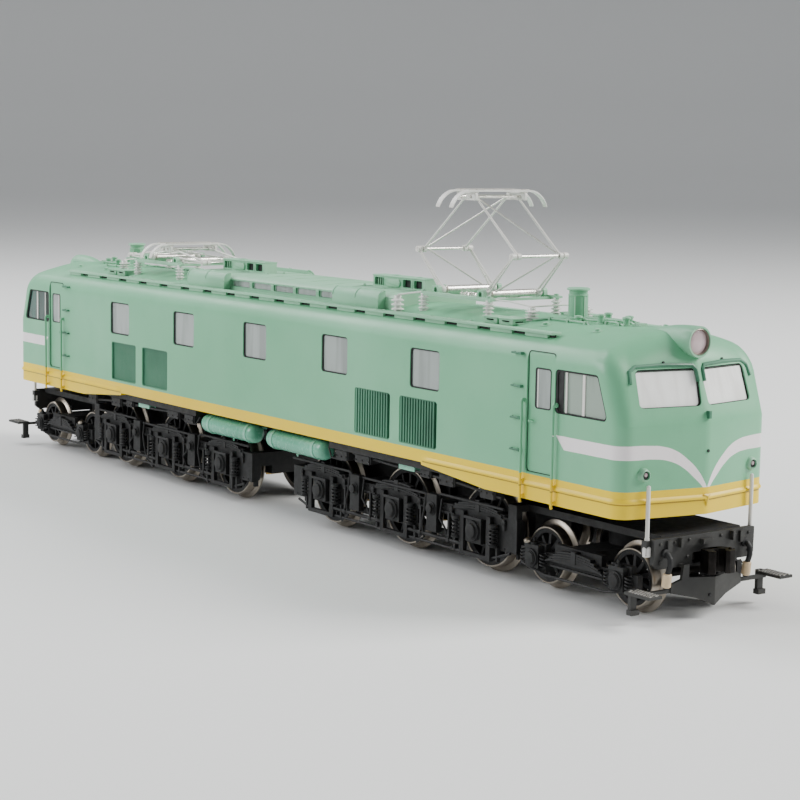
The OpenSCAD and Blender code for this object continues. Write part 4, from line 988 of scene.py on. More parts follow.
def roof_fittings():
    """Vent cans, whistles, small pots, conduits and the roof pipes at each end."""
    quarter = Shape()
    both = Shape()
    for e in (1, -1):
        part = Shape()
        part.lathe((84.3, 0, CROWN - 0.4), (0, 0, 1), ((0, 2.3), (0.7, 2.25), (0.9, 1.75), (4.6, 1.7), (4.7, 1.85),
                                                      (4.95, 1.85), (5.05, 1.7), (5.6, 1.72), (5.75, 2.15),
                                                      (6.0, 2.15), (6.15, 1.9), (6.2, 0.6)), 32)
        for a in range(6):
            t = math.radians(a * 60)
            part.block((84.3 + 1.7 * math.cos(t) - 0.12, 1.7 * math.sin(t) - 0.12, CROWN + 0.4),
                       (84.3 + 1.7 * math.cos(t) + 0.12, 1.7 * math.sin(t) + 0.12, CROWN + 4.3))
        for x, y, h in ((90, 2.4, 1.3), (93.5, -2.6, 1.5), (96.5, 1.6, 1.2), (99, -1.4, 1.3), (88.3, -3.4, 0.9)):
            z = roof_z(y) - 0.2
            part.lathe((x, y, z), (0, 0, 1), ((0, 0.95), (0.35, 0.95), (0.4, 0.6), (h, 0.6), (h + 0.1, 0.8),
                                              (h + 0.4, 0.75), (h + 0.5, 0.3)), 16)
        for y in (-2.6, 1.6, 0.0):
            z = roof_z(y) + 0.42
            part.pipe([(86.6, y, z), (91, y, z), (92, y + 0.5, z), (97, y + 0.5, z), (99.4, y + 0.3, z - 0.3)], 0.24)
            for x in (88.5, 94.5, 98):
                part.block((x, y - 0.05, z - 0.6), (x + 0.4, y + 0.75, z + 0.1))
        for y in (-4.4, 4.4):
            z = roof_z(y) + 0.2
            part.pipe([(73, y * 1.5, roof_z(y * 1.5) + 0.2), (80, y * 1.5, roof_z(y * 1.5) + 0.2), (81.5, y, z),
                       (92, y, z), (92.8, y, z - 0.6)], 0.26)
            for x in (81.5, 86.5, 91.3):
                part.block((x, y - 0.45, z - 0.5), (x + 0.5, y + 0.45, z + 0.3))
        part.block((100.4, -0.8, roof_z(0) - 0.3), (102.0, 0.8, roof_z(0) + 0.55))
        both.join(part.moved(Matrix.Diagonal((e, e, 1, 1))))
    for x, w in ((99.0, 0.9), (85, 1.0)):
        quarter.lathe((x, 8.2, roof_z(8.2) - 0.2), (0, 0.2, 1), ((0, w), (0.3, w), (0.35, w * 0.6), (0.75, w * 0.55),
                                                                (0.85, w * 0.2)), 14)
    quarter.pipe([(44, 11.6, roof_z(11.6) + 0.15), (66, 11.6, roof_z(11.6) + 0.15), (67, 11.2, roof_z(11.2) + 0.2)],
                 0.22)
    quarter.join(row(box_part((45, 11.3, roof_z(11.6) - 0.3), (45.5, 11.9, roof_z(11.6) + 0.42)), 5, (5, 0, 0)))
    both.four_ways(quarter)
    piece("roof_pipes_and_cans", both, ["green"], stands=["roof_fittings"], angle=40)


PANTO_X = 58.2
ARM_Z = RAIL + 51.2
# pantograph insulators from the pantograph's middle, and the feet of the conductors' insulators
INSULATOR_X = 10.2
INSULATOR_Y = 8.4
CONDUCTOR_FEET = ((42.9, -11), (78.5, -6.2), (79.7, 6.1))


def shed_profile(foot, top, big):
    """Profile of a ribbed insulator."""
    height = top - foot
    out = [(0, big * 0.8), (0.25, big * 0.8), (0.3, big * 0.5)]
    count = max(3, int(height / 0.85))
    pitch = (height - 0.7) / count
    for i in range(count):
        a = 0.35 + i * pitch
        out += [(a, big * 0.5), (a + pitch * 0.25, big), (a + pitch * 0.42, big), (a + pitch * 0.75, big * 0.55)]
    return out + [(height - 0.25, big * 0.5), (height - 0.2, big * 0.6), (height, big * 0.55)]


def insulators():
    """Glazed insulators under the pantograph frames and the roof conductors."""
    white = Shape()
    for e in (1, -1):
        part = Shape()
        for x in (-INSULATOR_X, INSULATOR_X):
            for y in (-INSULATOR_Y, INSULATOR_Y):
                foot = roof_z(abs(y)) - 0.1
                part.lathe((PANTO_X + x, y, foot), (0, 0, 1), shed_profile(foot, ARM_Z - 0.9, 1.05), 20)
        for x, y in CONDUCTOR_FEET:
            foot = roof_z(abs(y)) - 0.1
            part.lathe((x, y, foot), (0, 0, 1), shed_profile(foot, RAIL + 49.6, 1.3), 20)
        white.join(part.moved(Matrix.Diagonal((e, e, 1, 1))))
    piece("roof_porcelain", white, ["porcelain"], stands=["roof_insulators"])
    wires = Shape()
    for e in (1, -1):
        part = Shape()
        part.pipe([(42.9, -11, RAIL + 49.7), (46, -9.4, RAIL + 50.3), (48.5, -8.5, ARM_Z - 0.55)], 0.16, 8)
        part.pipe([(68.6, -7.9, ARM_Z - 0.7), (73, -7, RAIL + 50.4), (78.5, -6.2, RAIL + 49.8)], 0.16, 8)
        part.pipe([(78.5, -6.2, RAIL + 49.8), (80.5, 0, RAIL + 50.1), (79.7, 6.1, RAIL + 49.8)], 0.16, 8)
        wires.join(part.moved(Matrix.Diagonal((e, e, 1, 1))))
    piece("roof_conductors", wires, ["white"])


def headlights():
    """Round lamp housings faired into the roof, with glass."""
    z = RAIL + 46.3
    housing, glass, ring = Shape(), Shape(), Shape()
    for e in (1, -1):
        housing.lathe((0, 0, z), (e, 0, 0), ((101.5, 0.2), (103, 0.9), (105, 1.5), (107.5, 2.1), (110, 2.5),
                                            (112, 2.68), (114, 2.75), (HALF_L - 2.9, 2.75), (HALF_L - 2.8, 2.68),
                                            (HALF_L - 2.8, 2.4), (HALF_L - 3.0, 2.32), (HALF_L - 4.0, 2.3),
                                            (HALF_L - 4.05, 0.3)), 48)
        glass.lathe((0, 0, z), (e, 0, 0), ((HALF_L - 3.98, 2.25), (HALF_L - 3.5, 2.2), (HALF_L - 3.3, 1.8),
                                          (HALF_L - 3.18, 1.0), (HALF_L - 3.14, 0.1)), 40)
        loop_turned(ring, (0, 0, z), (e, 0, 0), [(HALF_L - 3.6, 2.3), (HALF_L - 2.95, 2.31), (HALF_L - 2.9, 2.2),
                                                 (HALF_L - 3.3, 2.1), (HALF_L - 3.6, 2.1)], 40)
    piece("headlight_fairings", housing, ["green"], stands=["headlight_housings"], angle=50)
    piece("headlight_glass", glass, ["lens"], stands=["headlight_lenses"], angle=50)
    piece("headlight_rims", ring, ["nickel"])


def marker_lamps():
    """Marker lamps: domed body, dark hood opening and a small bright glass."""
    body, dark, glass = Shape(), Shape(), Shape()
    z, y = RAIL + 24.3, 12.84
    x = surface_point(y, z)[0]
    for e in (1, -1):
        for s in (1, -1):
            at = (0, s * y, z)
            body.lathe(at, (e, 0, 0), ((x - 1.6, 1.3), (x + 0.05, 1.3), (x + 0.35, 1.12), (x + 0.75, 0.95),
                                       (x + 0.8, 0.8), (x + 0.4, 0.72), (x + 0.35, 0.2)), 24)
            dark.lathe(at, (e, 0, 0), ((x + 0.3, 0.73), (x + 0.48, 0.7), (x + 0.5, 0.3)), 20)
            glass.lathe((0, s * y, z + 0.12), (e, 0, 0), ((x + 0.35, 0.42), (x + 0.6, 0.34), (x + 0.66, 0.1)), 16)
    piece("marker_lamp_bodies", body, ["green"], stands=["marker_lamps"], angle=50)
    piece("marker_lamp_hoods", dark, ["rubber"])
    piece("marker_lamp_glass", glass, ["lens"])


# ---- body sides ----

def frame_strip(outline_out, outline_in, place, shape, slot=0):
    """Flat ring between two outlines of equal length."""
    n = len(outline_out)
    points, faces = [], []
    for w in (0, 1):
        points += [place(u, v, w) for u, v in outline_out] + [place(u, v, w) for u, v in outline_in]
    for i in range(n):
        j = (i + 1) % n
        faces += [(i, j, n + j, n + i), (2 * n + j, 2 * n + i, 3 * n + i, 3 * n + j),
                  (j, i, 2 * n + i, 2 * n + j), (n + i, n + j, 3 * n + j, 3 * n + i)]
    shape.put(points, faces, slot)


def window_seals():
    """Black seals round the panes, slider bars in the cab windows and the door joints."""
    seals, bars = Shape(), Shape()
    for s in (1, -1):
        place = wall_place(s * (HALF_W - 0.42), s * (HALF_W - 0.18))
        for x in WINDOW_X:
            frame_strip(rect(x - 4.66, SILL_Z - 0.01, x + 4.66, SILL_Z + 7.71, 0.75),
                        rect(x - 4.36, SILL_Z + 0.26, x + 4.4, SILL_Z + 7.42, 0.55), place, seals)
    quarter, bar = Shape(), Shape()
    inner = wall_place(HALF_W - 0.55, HALF_W - 0.3)
    frame_strip(rect(DOOR_WINDOW[0] - 0.01, DOOR_WINDOW[1] - 0.01, DOOR_WINDOW[2] + 0.01, DOOR_WINDOW[3] + 0.01, 0.6),
                rect(DOOR_WINDOW[0] + 0.3, DOOR_WINDOW[1] + 0.22, DOOR_WINDOW[2] - 0.2, DOOR_WINDOW[3] - 0.25, 0.45),
                inner, quarter)
    frame_strip(rounded(CAB_WINDOW, 0.8),
                rounded([(99.2, SILL_Z + 0.3), (112.0, SILL_Z + 0.3), (109.4, SILL_Z + 7.4), (99.2, SILL_Z + 7.4)],
                        0.6),
                wall_place(HALF_W - 0.5, HALF_W - 0.2), quarter)
    frame_strip(rounded(SCREEN, 0.9),
                rounded([(1.35, 3.12), (13.44, 3.12), (13.4, 9.45), (1.2, 9.45)], 0.75),
                screen_place(0.3, 0.5, 1), quarter)
    quarter.block((99.2, HALF_W - 0.5, SILL_Z + 0.2), (100.6, HALF_W - 0.36, SILL_Z + 7.5))
    frame_strip(rect(DOOR[0], DOOR[1], DOOR[2], DOOR[3], 0.8),
                rect(DOOR[0] + 0.16, DOOR[1] + 0.16, DOOR[2] - 0.16, DOOR[3] - 0.16, 0.66),
                wall_place(HALF_W - 0.37, HALF_W - 0.31), quarter)
    for x, w in ((101.2, 0.4), (105.6, 0.62)):
        bar.block((x, HALF_W - 0.5, SILL_Z + 0.25), (x + w, HALF_W - 0.28, SILL_Z + 7.45))
    bar.block((93.6, HALF_W - 0.55, SILL_Z + 0.4), (93.85, HALF_W - 0.35, SILL_Z + 7.3))
    seals.four_ways(quarter)
    bars.four_ways(bar)
    pane, panes = Shape(), Shape()
    pane.prism(rounded(CAB_WINDOW, 0.8), wall_place(HALF_W - 0.56, HALF_W - 0.46))
    panes.four_ways(pane)
    piece("cab_side_panes", panes, ["cab_pane"])
    piece("window_seals", seals, ["rubber"])
    piece("window_slider_bars", bars, ["white"])


def grilles():
    """Intake grilles: framed slats on the front pair, fine pleats on the rear pair."""
    back, slats = Shape(), Shape()
    low, high = RAIL + 22, RAIL + 31.2
    for s in (1, -1):
        for x in PANEL_X:
            back.block((x - 6.2, s * (HALF_W - 1.1), low - 0.2), (x + 6.2, s * (HALF_W - 0.75), high + 0.2))
            front = x > 0
            pitch = 0.86 if front else 0.4
            width = 0.42 if front else 0.24
            reach = 0.08 if front else 0.45
            count = int(11.4 / pitch)
            first = box_part((x - 5.75, s * (HALF_W - 0.8), low + 0.15),
                             (x - 5.75 + width, s * (HALF_W - reach), high - 0.15))
            slats.join(row(first, count, (pitch, 0, 0), mat="filter"))
            frame_strip(rect(x - 6.02, low - 0.02, x + 6.02, high + 0.02, 0.6),
                        rect(x - 5.8, low + 0.2, x + 5.8, high - 0.2, 0.5),
                        wall_place(s * (HALF_W - 0.9), s * (HALF_W - 0.12)), slats)
    piece("grille_backs", back, ["filter"], stands=["intake_panels"])
    piece("grille_slats", slats, ["filter"])


def grab_rails():
    """Grab rails, ladder rungs, door handle and door tread."""
    quarter, rungs = Shape(), Shape()
    y = HALF_W + 0.72
    for x in (DOOR[0] - 0.5, DOOR[0] + 8.1):
        quarter.pipe([(x, HALF_W - 0.2, RAIL + 34.6), (x, y - 0.25, RAIL + 34.7), (x, y, RAIL + 34.4),
                      (x, y, DEEP_Z - 0.2), (x, y - 0.15, DEEP_Z - 0.55)], 0.26, 12)
        for z in (DEEP_Z + 0.5, RAIL + 20.1, RAIL + 34.5):
            quarter.lathe((x, HALF_W - 0.1, z), (0, 1, 0), ((0, 0.42), (0.3, 0.42), (0.35, 0.24), (0.8, 0.24)), 12)
    for z in (25.25, 31, 36.7, 42.6):
        rungs.pipe([(87.4, HALF_W - 0.2, RAIL + z + 0.17), (87.4, HALF_W + 0.55, RAIL + z + 0.17),
                    (89.8, HALF_W + 0.55, RAIL + z + 0.17), (89.8, HALF_W - 0.2, RAIL + z + 0.17)], 0.2, 8)
        rungs.block((89.2, HALF_W - 0.1, RAIL + z - 0.05), (90.0, HALF_W + 0.68, RAIL + z + 0.4))
    quarter.lathe((92.3, HALF_W - 0.4, RAIL + 31), (0, 1, 0), ((0, 0.2), (0.5, 0.18), (0.55, 0.3), (0.8, 0.24)), 12)
    quarter.block((92.2, HALF_W + 0.1, RAIL + 30.9), (93.2, HALF_W + 0.28, RAIL + 31.1))
    quarter.block((DOOR[0] + 0.2, HALF_W - 0.4, DOOR[1] - 0.7), (DOOR[2] - 0.2, HALF_W + 0.18, DOOR[1] - 0.1))
    for z in (0.15, 0.4):
        quarter.join(row(stud((DOOR[0] + 0.6, HALF_W + 0.15, DOOR[1] - z - 0.1), (0, 1, 0), 0.12, 0.12, 6), 13,
                         (0.52, 0, 0)))
    all_rails, all_rungs = Shape(), Shape()
    all_rails.four_ways(quarter)
    all_rungs.four_ways(rungs)
    # painted shade: the rungs are body green, drawn in the darker green to show their shading
    piece("ladder_rungs", all_rungs, ["filter"])
    piece("grab_rails_and_rungs", all_rails, ["body"], stands=["rails_and_steps"])


def nose_trim():
    """Rain strips over the windscreens, studs, the nose lug and the point on the ridge moulding."""
    strips, dark, point = Shape(), Shape(), Shape()
    for e in (1, -1):
        for s in (1, -1):
            path = [surface_point(s * y, z, e, 0.05) for y, z in
                    ((0.75, RAIL + 39.6), (0.8, RAIL + 41.6), (1.4, RAIL + 42.35), (7, RAIL + 42.55),
                     (12.6, RAIL + 42.35), (13.9, RAIL + 41.6), (14.3, RAIL + 39.6))]
            strips.pipe(path, 0.36, 8)
            dark.lathe(surface_point(s * 7, RAIL + 42.9, e, -0.2), (e, 0, 0.3), ((0, 0.22), (0.45, 0.2)), 10)
        x = HALF_L
        dark.lathe((e * (x - 0.5), 0, RAIL + 27.8), (e, 0, 0), ((0, 0.3), (0.62, 0.28), (0.68, 0.1)), 12)
        strips.block((e * (x - 0.5), -0.28, RAIL + 33.4), (e * (x + 0.25), 0.28, RAIL + 34.7))
        point.put([(e * (x + 0.1), -0.9, RIDGE_HIGH + 0.1), (e * (x + 0.1), 0.9, RIDGE_HIGH + 0.1),
                   (e * (x + 0.1), 0, RIDGE_LOW - 1.2), (e * (x + 0.45), 0, RIDGE_HIGH - 0.3),
                   (e * (x - 0.8), 0, RIDGE_HIGH - 0.3)],
                  [(0, 1, 3), (1, 2, 3), (2, 0, 3), (1, 0, 4), (2, 1, 4), (0, 2, 4)])
    # painted shade: the rain strips and nose lug are body green, drawn in the darker green to show their shading
    piece("nose_rain_strips", strips, ["filter"])
    piece("nose_studs", dark, ["rubber"])
    piece("nose_point", point, ["yellow"], angle=20)


def air_tanks():
    """Air tanks with domed ends and straps, and sand boxes."""
    quarter, straps = Shape(), Shape()
    y, z, r = 14.6, RAIL + 16.2, 2.1
    quarter.lathe((0, y, z), (1, 0, 0), ((2.6, 0.7), (2.75, 1.2), (3.0, 1.6), (3.4, 1.92), (3.9, 2.06), (4.3, r),
                                        (23.0, r), (23.4, 2.06), (23.9, 1.92), (24.3, 1.6), (24.55, 1.2),
                                        (24.7, 0.7)), 32)
    for x in (4.9, 20.6):
        loop_turned(straps, (x, y, z), (1, 0, 0), [(0, r - 0.02), (0, r + 0.12), (0.9, r + 0.12), (0.9, r - 0.02)], 32)
        straps.block((x + 0.1, 11, RAIL + 16.7), (x + 0.8, 12.9, RAIL + 17.4))
    quarter.block((50.2, 13.6, RAIL + 16.3), (55.3, 15.4, RAIL + 17.4))
    quarter.block((50.6, 14.0, RAIL + 17.2), (54.9, 15.2, RAIL + 19.0))
    straps.lathe((12.9, y, z - r), (0, 0, -1), ((-0.3, 0.3), (0.25, 0.3), (0.3, 0.18), (0.6, 0.18)), 10)
    green, trim = Shape(), Shape()
    green.four_ways(quarter)
    trim.four_ways(straps)
    # painted light: the tank green is a copy of the body green set apart for the light on the tanks
    piece("air_tanks_skin", green, ["tank_lit_green"], stands=["air_tanks"], angle=40)
    piece("air_tank_straps", trim, ["tank_lit_green"])


# ---- wheels ----

def half_wheel(r, spokes, hub):
    """One spoked wheel at y > 0 about the origin: nickel tyre in slot 0, dark centre in slot 1."""
    out = Shape()
    back = 7.15
    loop_turned(out, (0, back, 0), (0, 1, 0), [(0.0, r - 0.45), (0.0, r + 0.3), (0.2, r + 0.85), (0.42, r + 1.0),
                                               (0.62, r + 0.95), (0.8, r + 0.3), (1.0, r + 0.02), (2.7, r - 0.05),
                                               (2.9, r - 0.2), (2.9, r - 0.42), (2.6, r - 0.5), (0.3, r - 0.5)], 56)
    loop_turned(out, (0, back, 0), (0, 1, 0), [(-0.01, r - 0.48), (2.75, r - 0.48), (2.6, r - 1.3), (0.5, r - 1.3),
                                               (-0.01, r - 1.0)], 56, 1)
    spoke = Shape()
    spoke.loft([[(-0.4, back + 0.7, hub - 0.3), (-0.4, back + 2.5, hub - 0.3), (0.4, back + 2.5, hub - 0.3),
                 (0.4, back + 0.7, hub - 0.3)],
                [(-0.26, back + 1.0, r - 1.1), (-0.26, back + 2.25, r - 1.1), (0.26, back + 2.25, r - 1.1),
                 (0.26, back + 1.0, r - 1.1)]], 1)
    for i in range(spokes):
        out.join(spoke.moved(Matrix.Rotation(2 * math.pi * i / spokes, 4, "Y")))
    out.lathe((0, back, 0), (0, 1, 0), ((0.0, hub), (0.1, hub + 0.1), (2.6, hub), (2.8, hub * 0.75), (2.9, 0.9)),
              28, 1)
    return out


def wheelset(number, kind, r, spokes, hub, axle, reach):
    """Wheels, axle and, on driven axles, the worm wheel."""
    node = f"{kind}_wheelset_{number}"
    body = f"{kind}_axle_{number}"
    low, high = span(node)
    x, z = (low[0] + high[0]) / 2, (low[2] + high[2]) / 2
    wheel = half_wheel(r, spokes, hub)
    out = Shape()
    out.join(wheel)
    out.join(wheel.moved(Matrix.Diagonal((1, -1, 1, 1))))
    out.rod((0, -reach, 0), (0, reach, 0), axle, 20, 2)
    if kind == "driving":
        teeth = []
        for i in range(20):
            for rr, k in ((3.3, -0.3), (4.0, -0.12), (4.0, 0.12), (3.3, 0.3)):
                t = 2 * math.pi * (i + k) / 20
                teeth.append((rr * math.cos(t), rr * math.sin(t)))
        out.prism(teeth, lambda u, v, w: (u, 1.6 - 3.2 * w, v), 3)
    else:
        out.rod((0, -12.2, 0), (0, 12.2, 0), 0.6, 16, 2)
    made = out.moved(Matrix.Translation((x, 0, z)))
    piece(f"{kind}_wheels_{number}", made, ["nickel", "black", "steel", "brass"], body, [node],
          angle=35)


# ---- running gear ----

UNIT_AXLES = (20.0, 46.0, 72.0)
DRIVER_Z = RAIL + 7.8
GUIDE_AXLES = (89.15, 111.65)
GUIDE_Z = RAIL + 5.375
FRAME_OUT = 12.6
SHOE_R = 8.2
BEAM_FACE = 119.0
POST = (117.6, 12.4)
HOSE_Y = 9.6
COUPLER_FACE = 124.4
COUPLER_Z = RAIL + 9.2


def coil(shape, at, radius, height, turns, wire, slot=0):
    """Coil spring standing at a point."""
    path = [(at[0] + radius * math.cos(t), at[1] + radius * math.sin(t), at[2] + height * t / (2 * math.pi * turns))
            for t in np.linspace(0, 2 * math.pi * turns, int(turns * 10))]
    shape.pipe(path, wire, 6, slot)


def arched_leaves(shape, x, y, z, half, drop, count, slot=0):
    """Leaf spring: arched strips, each shorter than the one under it, with a buckle."""
    for i in range(count):
        reach = half * (1 - 0.14 * i)
        top = z + 0.42 * i
        upper = [(x + u, top + 0.36 - drop * (u / half) ** 2) for u in np.linspace(-reach, reach, 13)]
        lower = [(u, v - 0.34) for u, v in reversed(upper)]
        shape.prism(upper + lower, wall_place(y, y + 1.1), slot)
    shape.block((x - 0.6, y - 0.08, z - 0.25), (x + 0.6, y + 1.2, z + 0.42 * count + 0.25), slot)


def unit_side_detail():
    """Springs, axle box covers, brake gear, pipes and bolts on the left side of a unit."""
    out = Shape()
    y = FRAME_OUT
    for x in UNIT_AXLES:
        arched_leaves(out, x, 11.75, RAIL + 11.2, 8.2, 1.0, 4)
        for s in (-1, 1):
            out.block((x + s * 7.9 - 0.35, 11.6, RAIL + 8.6), (x + s * 7.9 + 0.35, 13.0, RAIL + 10.7))
            out.lathe((x + s * 7.9, 12.2, RAIL + 10.1), (0, 1, 0), ((0, 0.5), (0.9, 0.5), (1.0, 0.3)), 12)
            coil(out, (x + s * 5.6, y + 0.9, RAIL + 5.6), 0.75, 3.6, 5, 0.17)
            out.lathe((x + s * 5.6, y + 0.9, RAIL + 5.2), (0, 0, 1), ((0, 0.95), (0.35, 0.95), (0.4, 0.3), (3.6, 0.3),
                                                                     (3.65, 0.9), (4.2, 0.9)), 14)
            out.block((x + s * 9.6 - 0.3, 9.9, RAIL + 3.2), (x + s * 9.6 + 0.3, 10.9, RAIL + 10.6))
            shoe = [(x + s * SHOE_R * math.cos(t), DRIVER_Z + SHOE_R * math.sin(t))
                    for t in np.radians(np.linspace(-26, 16, 9))]
            outer = [(u + s * 0.9, v) for u, v in reversed(shoe)]
            out.prism(shoe + outer, wall_place(8.6, 10.3))
        cover_z = DRIVER_Z - 0.4
        out.lathe((x, y + 1.1, cover_z), (0, 1, 0), ((0, 2.0), (0.55, 1.9), (0.6, 1.5), (1.0, 1.35), (1.15, 0.7)), 24)
        for t in np.radians((45, 135, 225, 315)):
            out.join(stud((x + 2.0 * math.cos(t), y + 1.15, cover_z + 2.0 * math.sin(t)), (0, 1, 0), 0.22, 0.25, 6))
        out.block((x - 2.6, y + 0.9, cover_z + 2.1), (x + 2.6, y + 1.5, cover_z + 2.6))
    for x in (UNIT_AXLES[0] + 13, UNIT_AXLES[1] + 13):
        out.lathe((x, y + 1.0, RAIL + 9.6), (0, 1, 0), ((0, 1.3), (0.5, 1.3), (0.6, 0.9), (1.1, 0.85), (1.2, 0.4)), 20)
        out.pipe([(x - 2.6, y + 0.6, RAIL + 12.2), (x - 2.6, y + 1.0, RAIL + 9), (x - 3.4, y + 1.0, RAIL + 6.4),
                  (x - 3.4, y + 0.4, RAIL + 3.4), (x - 6, y + 0.2, RAIL + 1.9)], 0.24, 8)
        out.pipe([(x + 2.4, y + 0.6, RAIL + 11.8), (x + 2.4, y + 1.1, RAIL + 8), (x + 4.0, y + 1.1, RAIL + 6.6),
                  (x + 4.0, y + 0.2, RAIL + 4.6)], 0.2, 8)
        out.block((x - 5.8, y - 0.3, RAIL + 9.1), (x + 5.8, y + 0.35, RAIL + 9.5))
        out.join(row(stud((x - 5.4, y - 0.02, RAIL + 10.4), (0, 1, 0), 0.2, 0.2, 6), 10, (1.2, 0, 0)))
        for dx in (-4.4, 4.6):
            out.block((x + dx - 0.25, 12.4, RAIL + 3.6), (x + dx + 0.25, 13.3, RAIL + 9.3))
            out.lathe((x + dx, 12.7, RAIL + 4.1), (0, 1, 0), ((0, 0.5), (0.8, 0.5), (0.9, 0.25)), 12)
    out.pipe([(9, 13.0, RAIL + 12.6), (30, 13.0, RAIL + 12.6), (31, 13.0, RAIL + 12.0), (60, 13.0, RAIL + 12.0),
              (61, 13.0, RAIL + 12.6), (80, 13.0, RAIL + 12.6)], 0.3, 8)
    out.pipe([(11, 12.9, RAIL + 4.0), (16, 12.9, RAIL + 2.6), (76, 12.9, RAIL + 2.6), (82, 12.9, RAIL + 4.6)], 0.26, 8)
    out.join(row(box_part((14, 12.4, RAIL + 2.4), (14.5, 13.2, RAIL + 5.2)), 6, (12.8, 0, 0)))
    out.join(row(stud((10, y - 0.02, RAIL + 5.1), (0, 1, 0), 0.18, 0.18, 6), 36, (2, 0, 0)))
    return out


def both_sides_at(part, e):
    """A left-hand part on both sides of the front or rear end."""
    out = Shape()
    for s in (1, -1):
        out.join(part.moved(Matrix.Diagonal((e, s, 1, 1))))
    return out


def underbody_detail():
    """Boxes and conduits under the floor, fixed to the body."""
    quarter = Shape()
    for x, w, h in ((28.6, 4.5, 1.9), (35.5, 5.5, 1.6), (57.5, 3.5, 1.4), (63.5, 5, 2.0), (76, 4.6, 2.6)):
        quarter.block((x, 13.4, RAIL + 17.3 - h), (x + w, 15.6, RAIL + 17.5))
        quarter.block((x + 0.3, 15.5, RAIL + 17.2 - h), (x + w - 0.3, 15.8, RAIL + 17.2))
        quarter.join(row(stud((x + 0.6, 15.75, RAIL + 17.0 - h * 0.5), (0, 1, 0), 0.2, 0.2, 6), 3, (w / 2 - 0.6, 0, 0)))
    quarter.pipe([(2, 13.2, RAIL + 17.1), (2, 13.2, RAIL + 15.2), (27, 13.0, RAIL + 14.9), (28, 13.4, RAIL + 15.6),
                  (34, 14.2, RAIL + 15.7)], 0.25, 8)
    quarter.pipe([(34, 15.0, RAIL + 17.1), (48, 15.0, RAIL + 16.5), (57, 15.0, RAIL + 16.4), (70, 15.2, RAIL + 16.1),
                  (82, 15.2, RAIL + 15.2)], 0.28, 8)
    quarter.pipe([(26, 15.6, RAIL + 17.3), (27.5, 15.9, RAIL + 15.4), (31, 15.6, RAIL + 15.2), (32.8, 15.4, RAIL + 17)],
                 0.16, 8)
    out = Shape()
    out.four_ways(quarter)
    piece("underfloor_boxes_and_pipes", out, ["black"])


def guide_detail():
    """Springs, covers and bolts on the left side of a guiding truck."""
    out, cap = Shape(), Shape()
    y = FRAME_OUT
    for x in GUIDE_AXLES:
        out.lathe((x, y + 1.1, GUIDE_Z), (0, 1, 0), ((0, 1.7), (0.45, 1.6), (0.5, 1.2), (0.8, 1.1), (0.9, 0.5)), 20)
        for t in np.radians((45, 135, 225, 315)):
            out.join(stud((x + 1.5 * math.cos(t), y + 1.15, GUIDE_Z + 1.5 * math.sin(t)), (0, 1, 0), 0.2, 0.25, 6))
        out.block((x - 1.9, y + 0.2, GUIDE_Z + 1.7), (x + 1.9, y + 1.3, GUIDE_Z + 2.4))
        out.lathe((x, y + 0.6, GUIDE_Z + 2.3), (0, 0, 1), ((0, 0.7), (0.5, 0.7), (0.6, 0.35), (1.3, 0.3)), 12)
        coil(out, (x + 2.7, y + 0.7, GUIDE_Z - 1.2), 0.6, 2.4, 4, 0.15)
        coil(out, (x - 2.7, y + 0.7, GUIDE_Z - 1.2), 0.6, 2.4, 4, 0.15)
    arched_leaves(out, 100.4, y, GUIDE_Z + 1.0, 7.6, 1.1, 4)
    out.pipe([(85.5, y + 0.4, GUIDE_Z - 1.6), (92, y + 0.5, GUIDE_Z - 2.8), (108, y + 0.5, GUIDE_Z - 2.8),
              (114.8, y + 0.4, GUIDE_Z - 1.6)], 0.26, 8)
    out.block((93.5, y - 0.1, GUIDE_Z - 1.0), (107.3, y + 0.4, GUIDE_Z - 0.6))
    out.join(row(stud((94.4, y - 0.02, GUIDE_Z + 0.3), (0, 1, 0), 0.2, 0.22, 6), 9, (1.5, 0, 0)))
    cap.lathe((88.2, y + 1.3, GUIDE_Z + 2.9), (0, 0.4, 1), ((0, 0.8), (0.4, 0.75), (0.6, 0.3)), 14)
    return out, cap


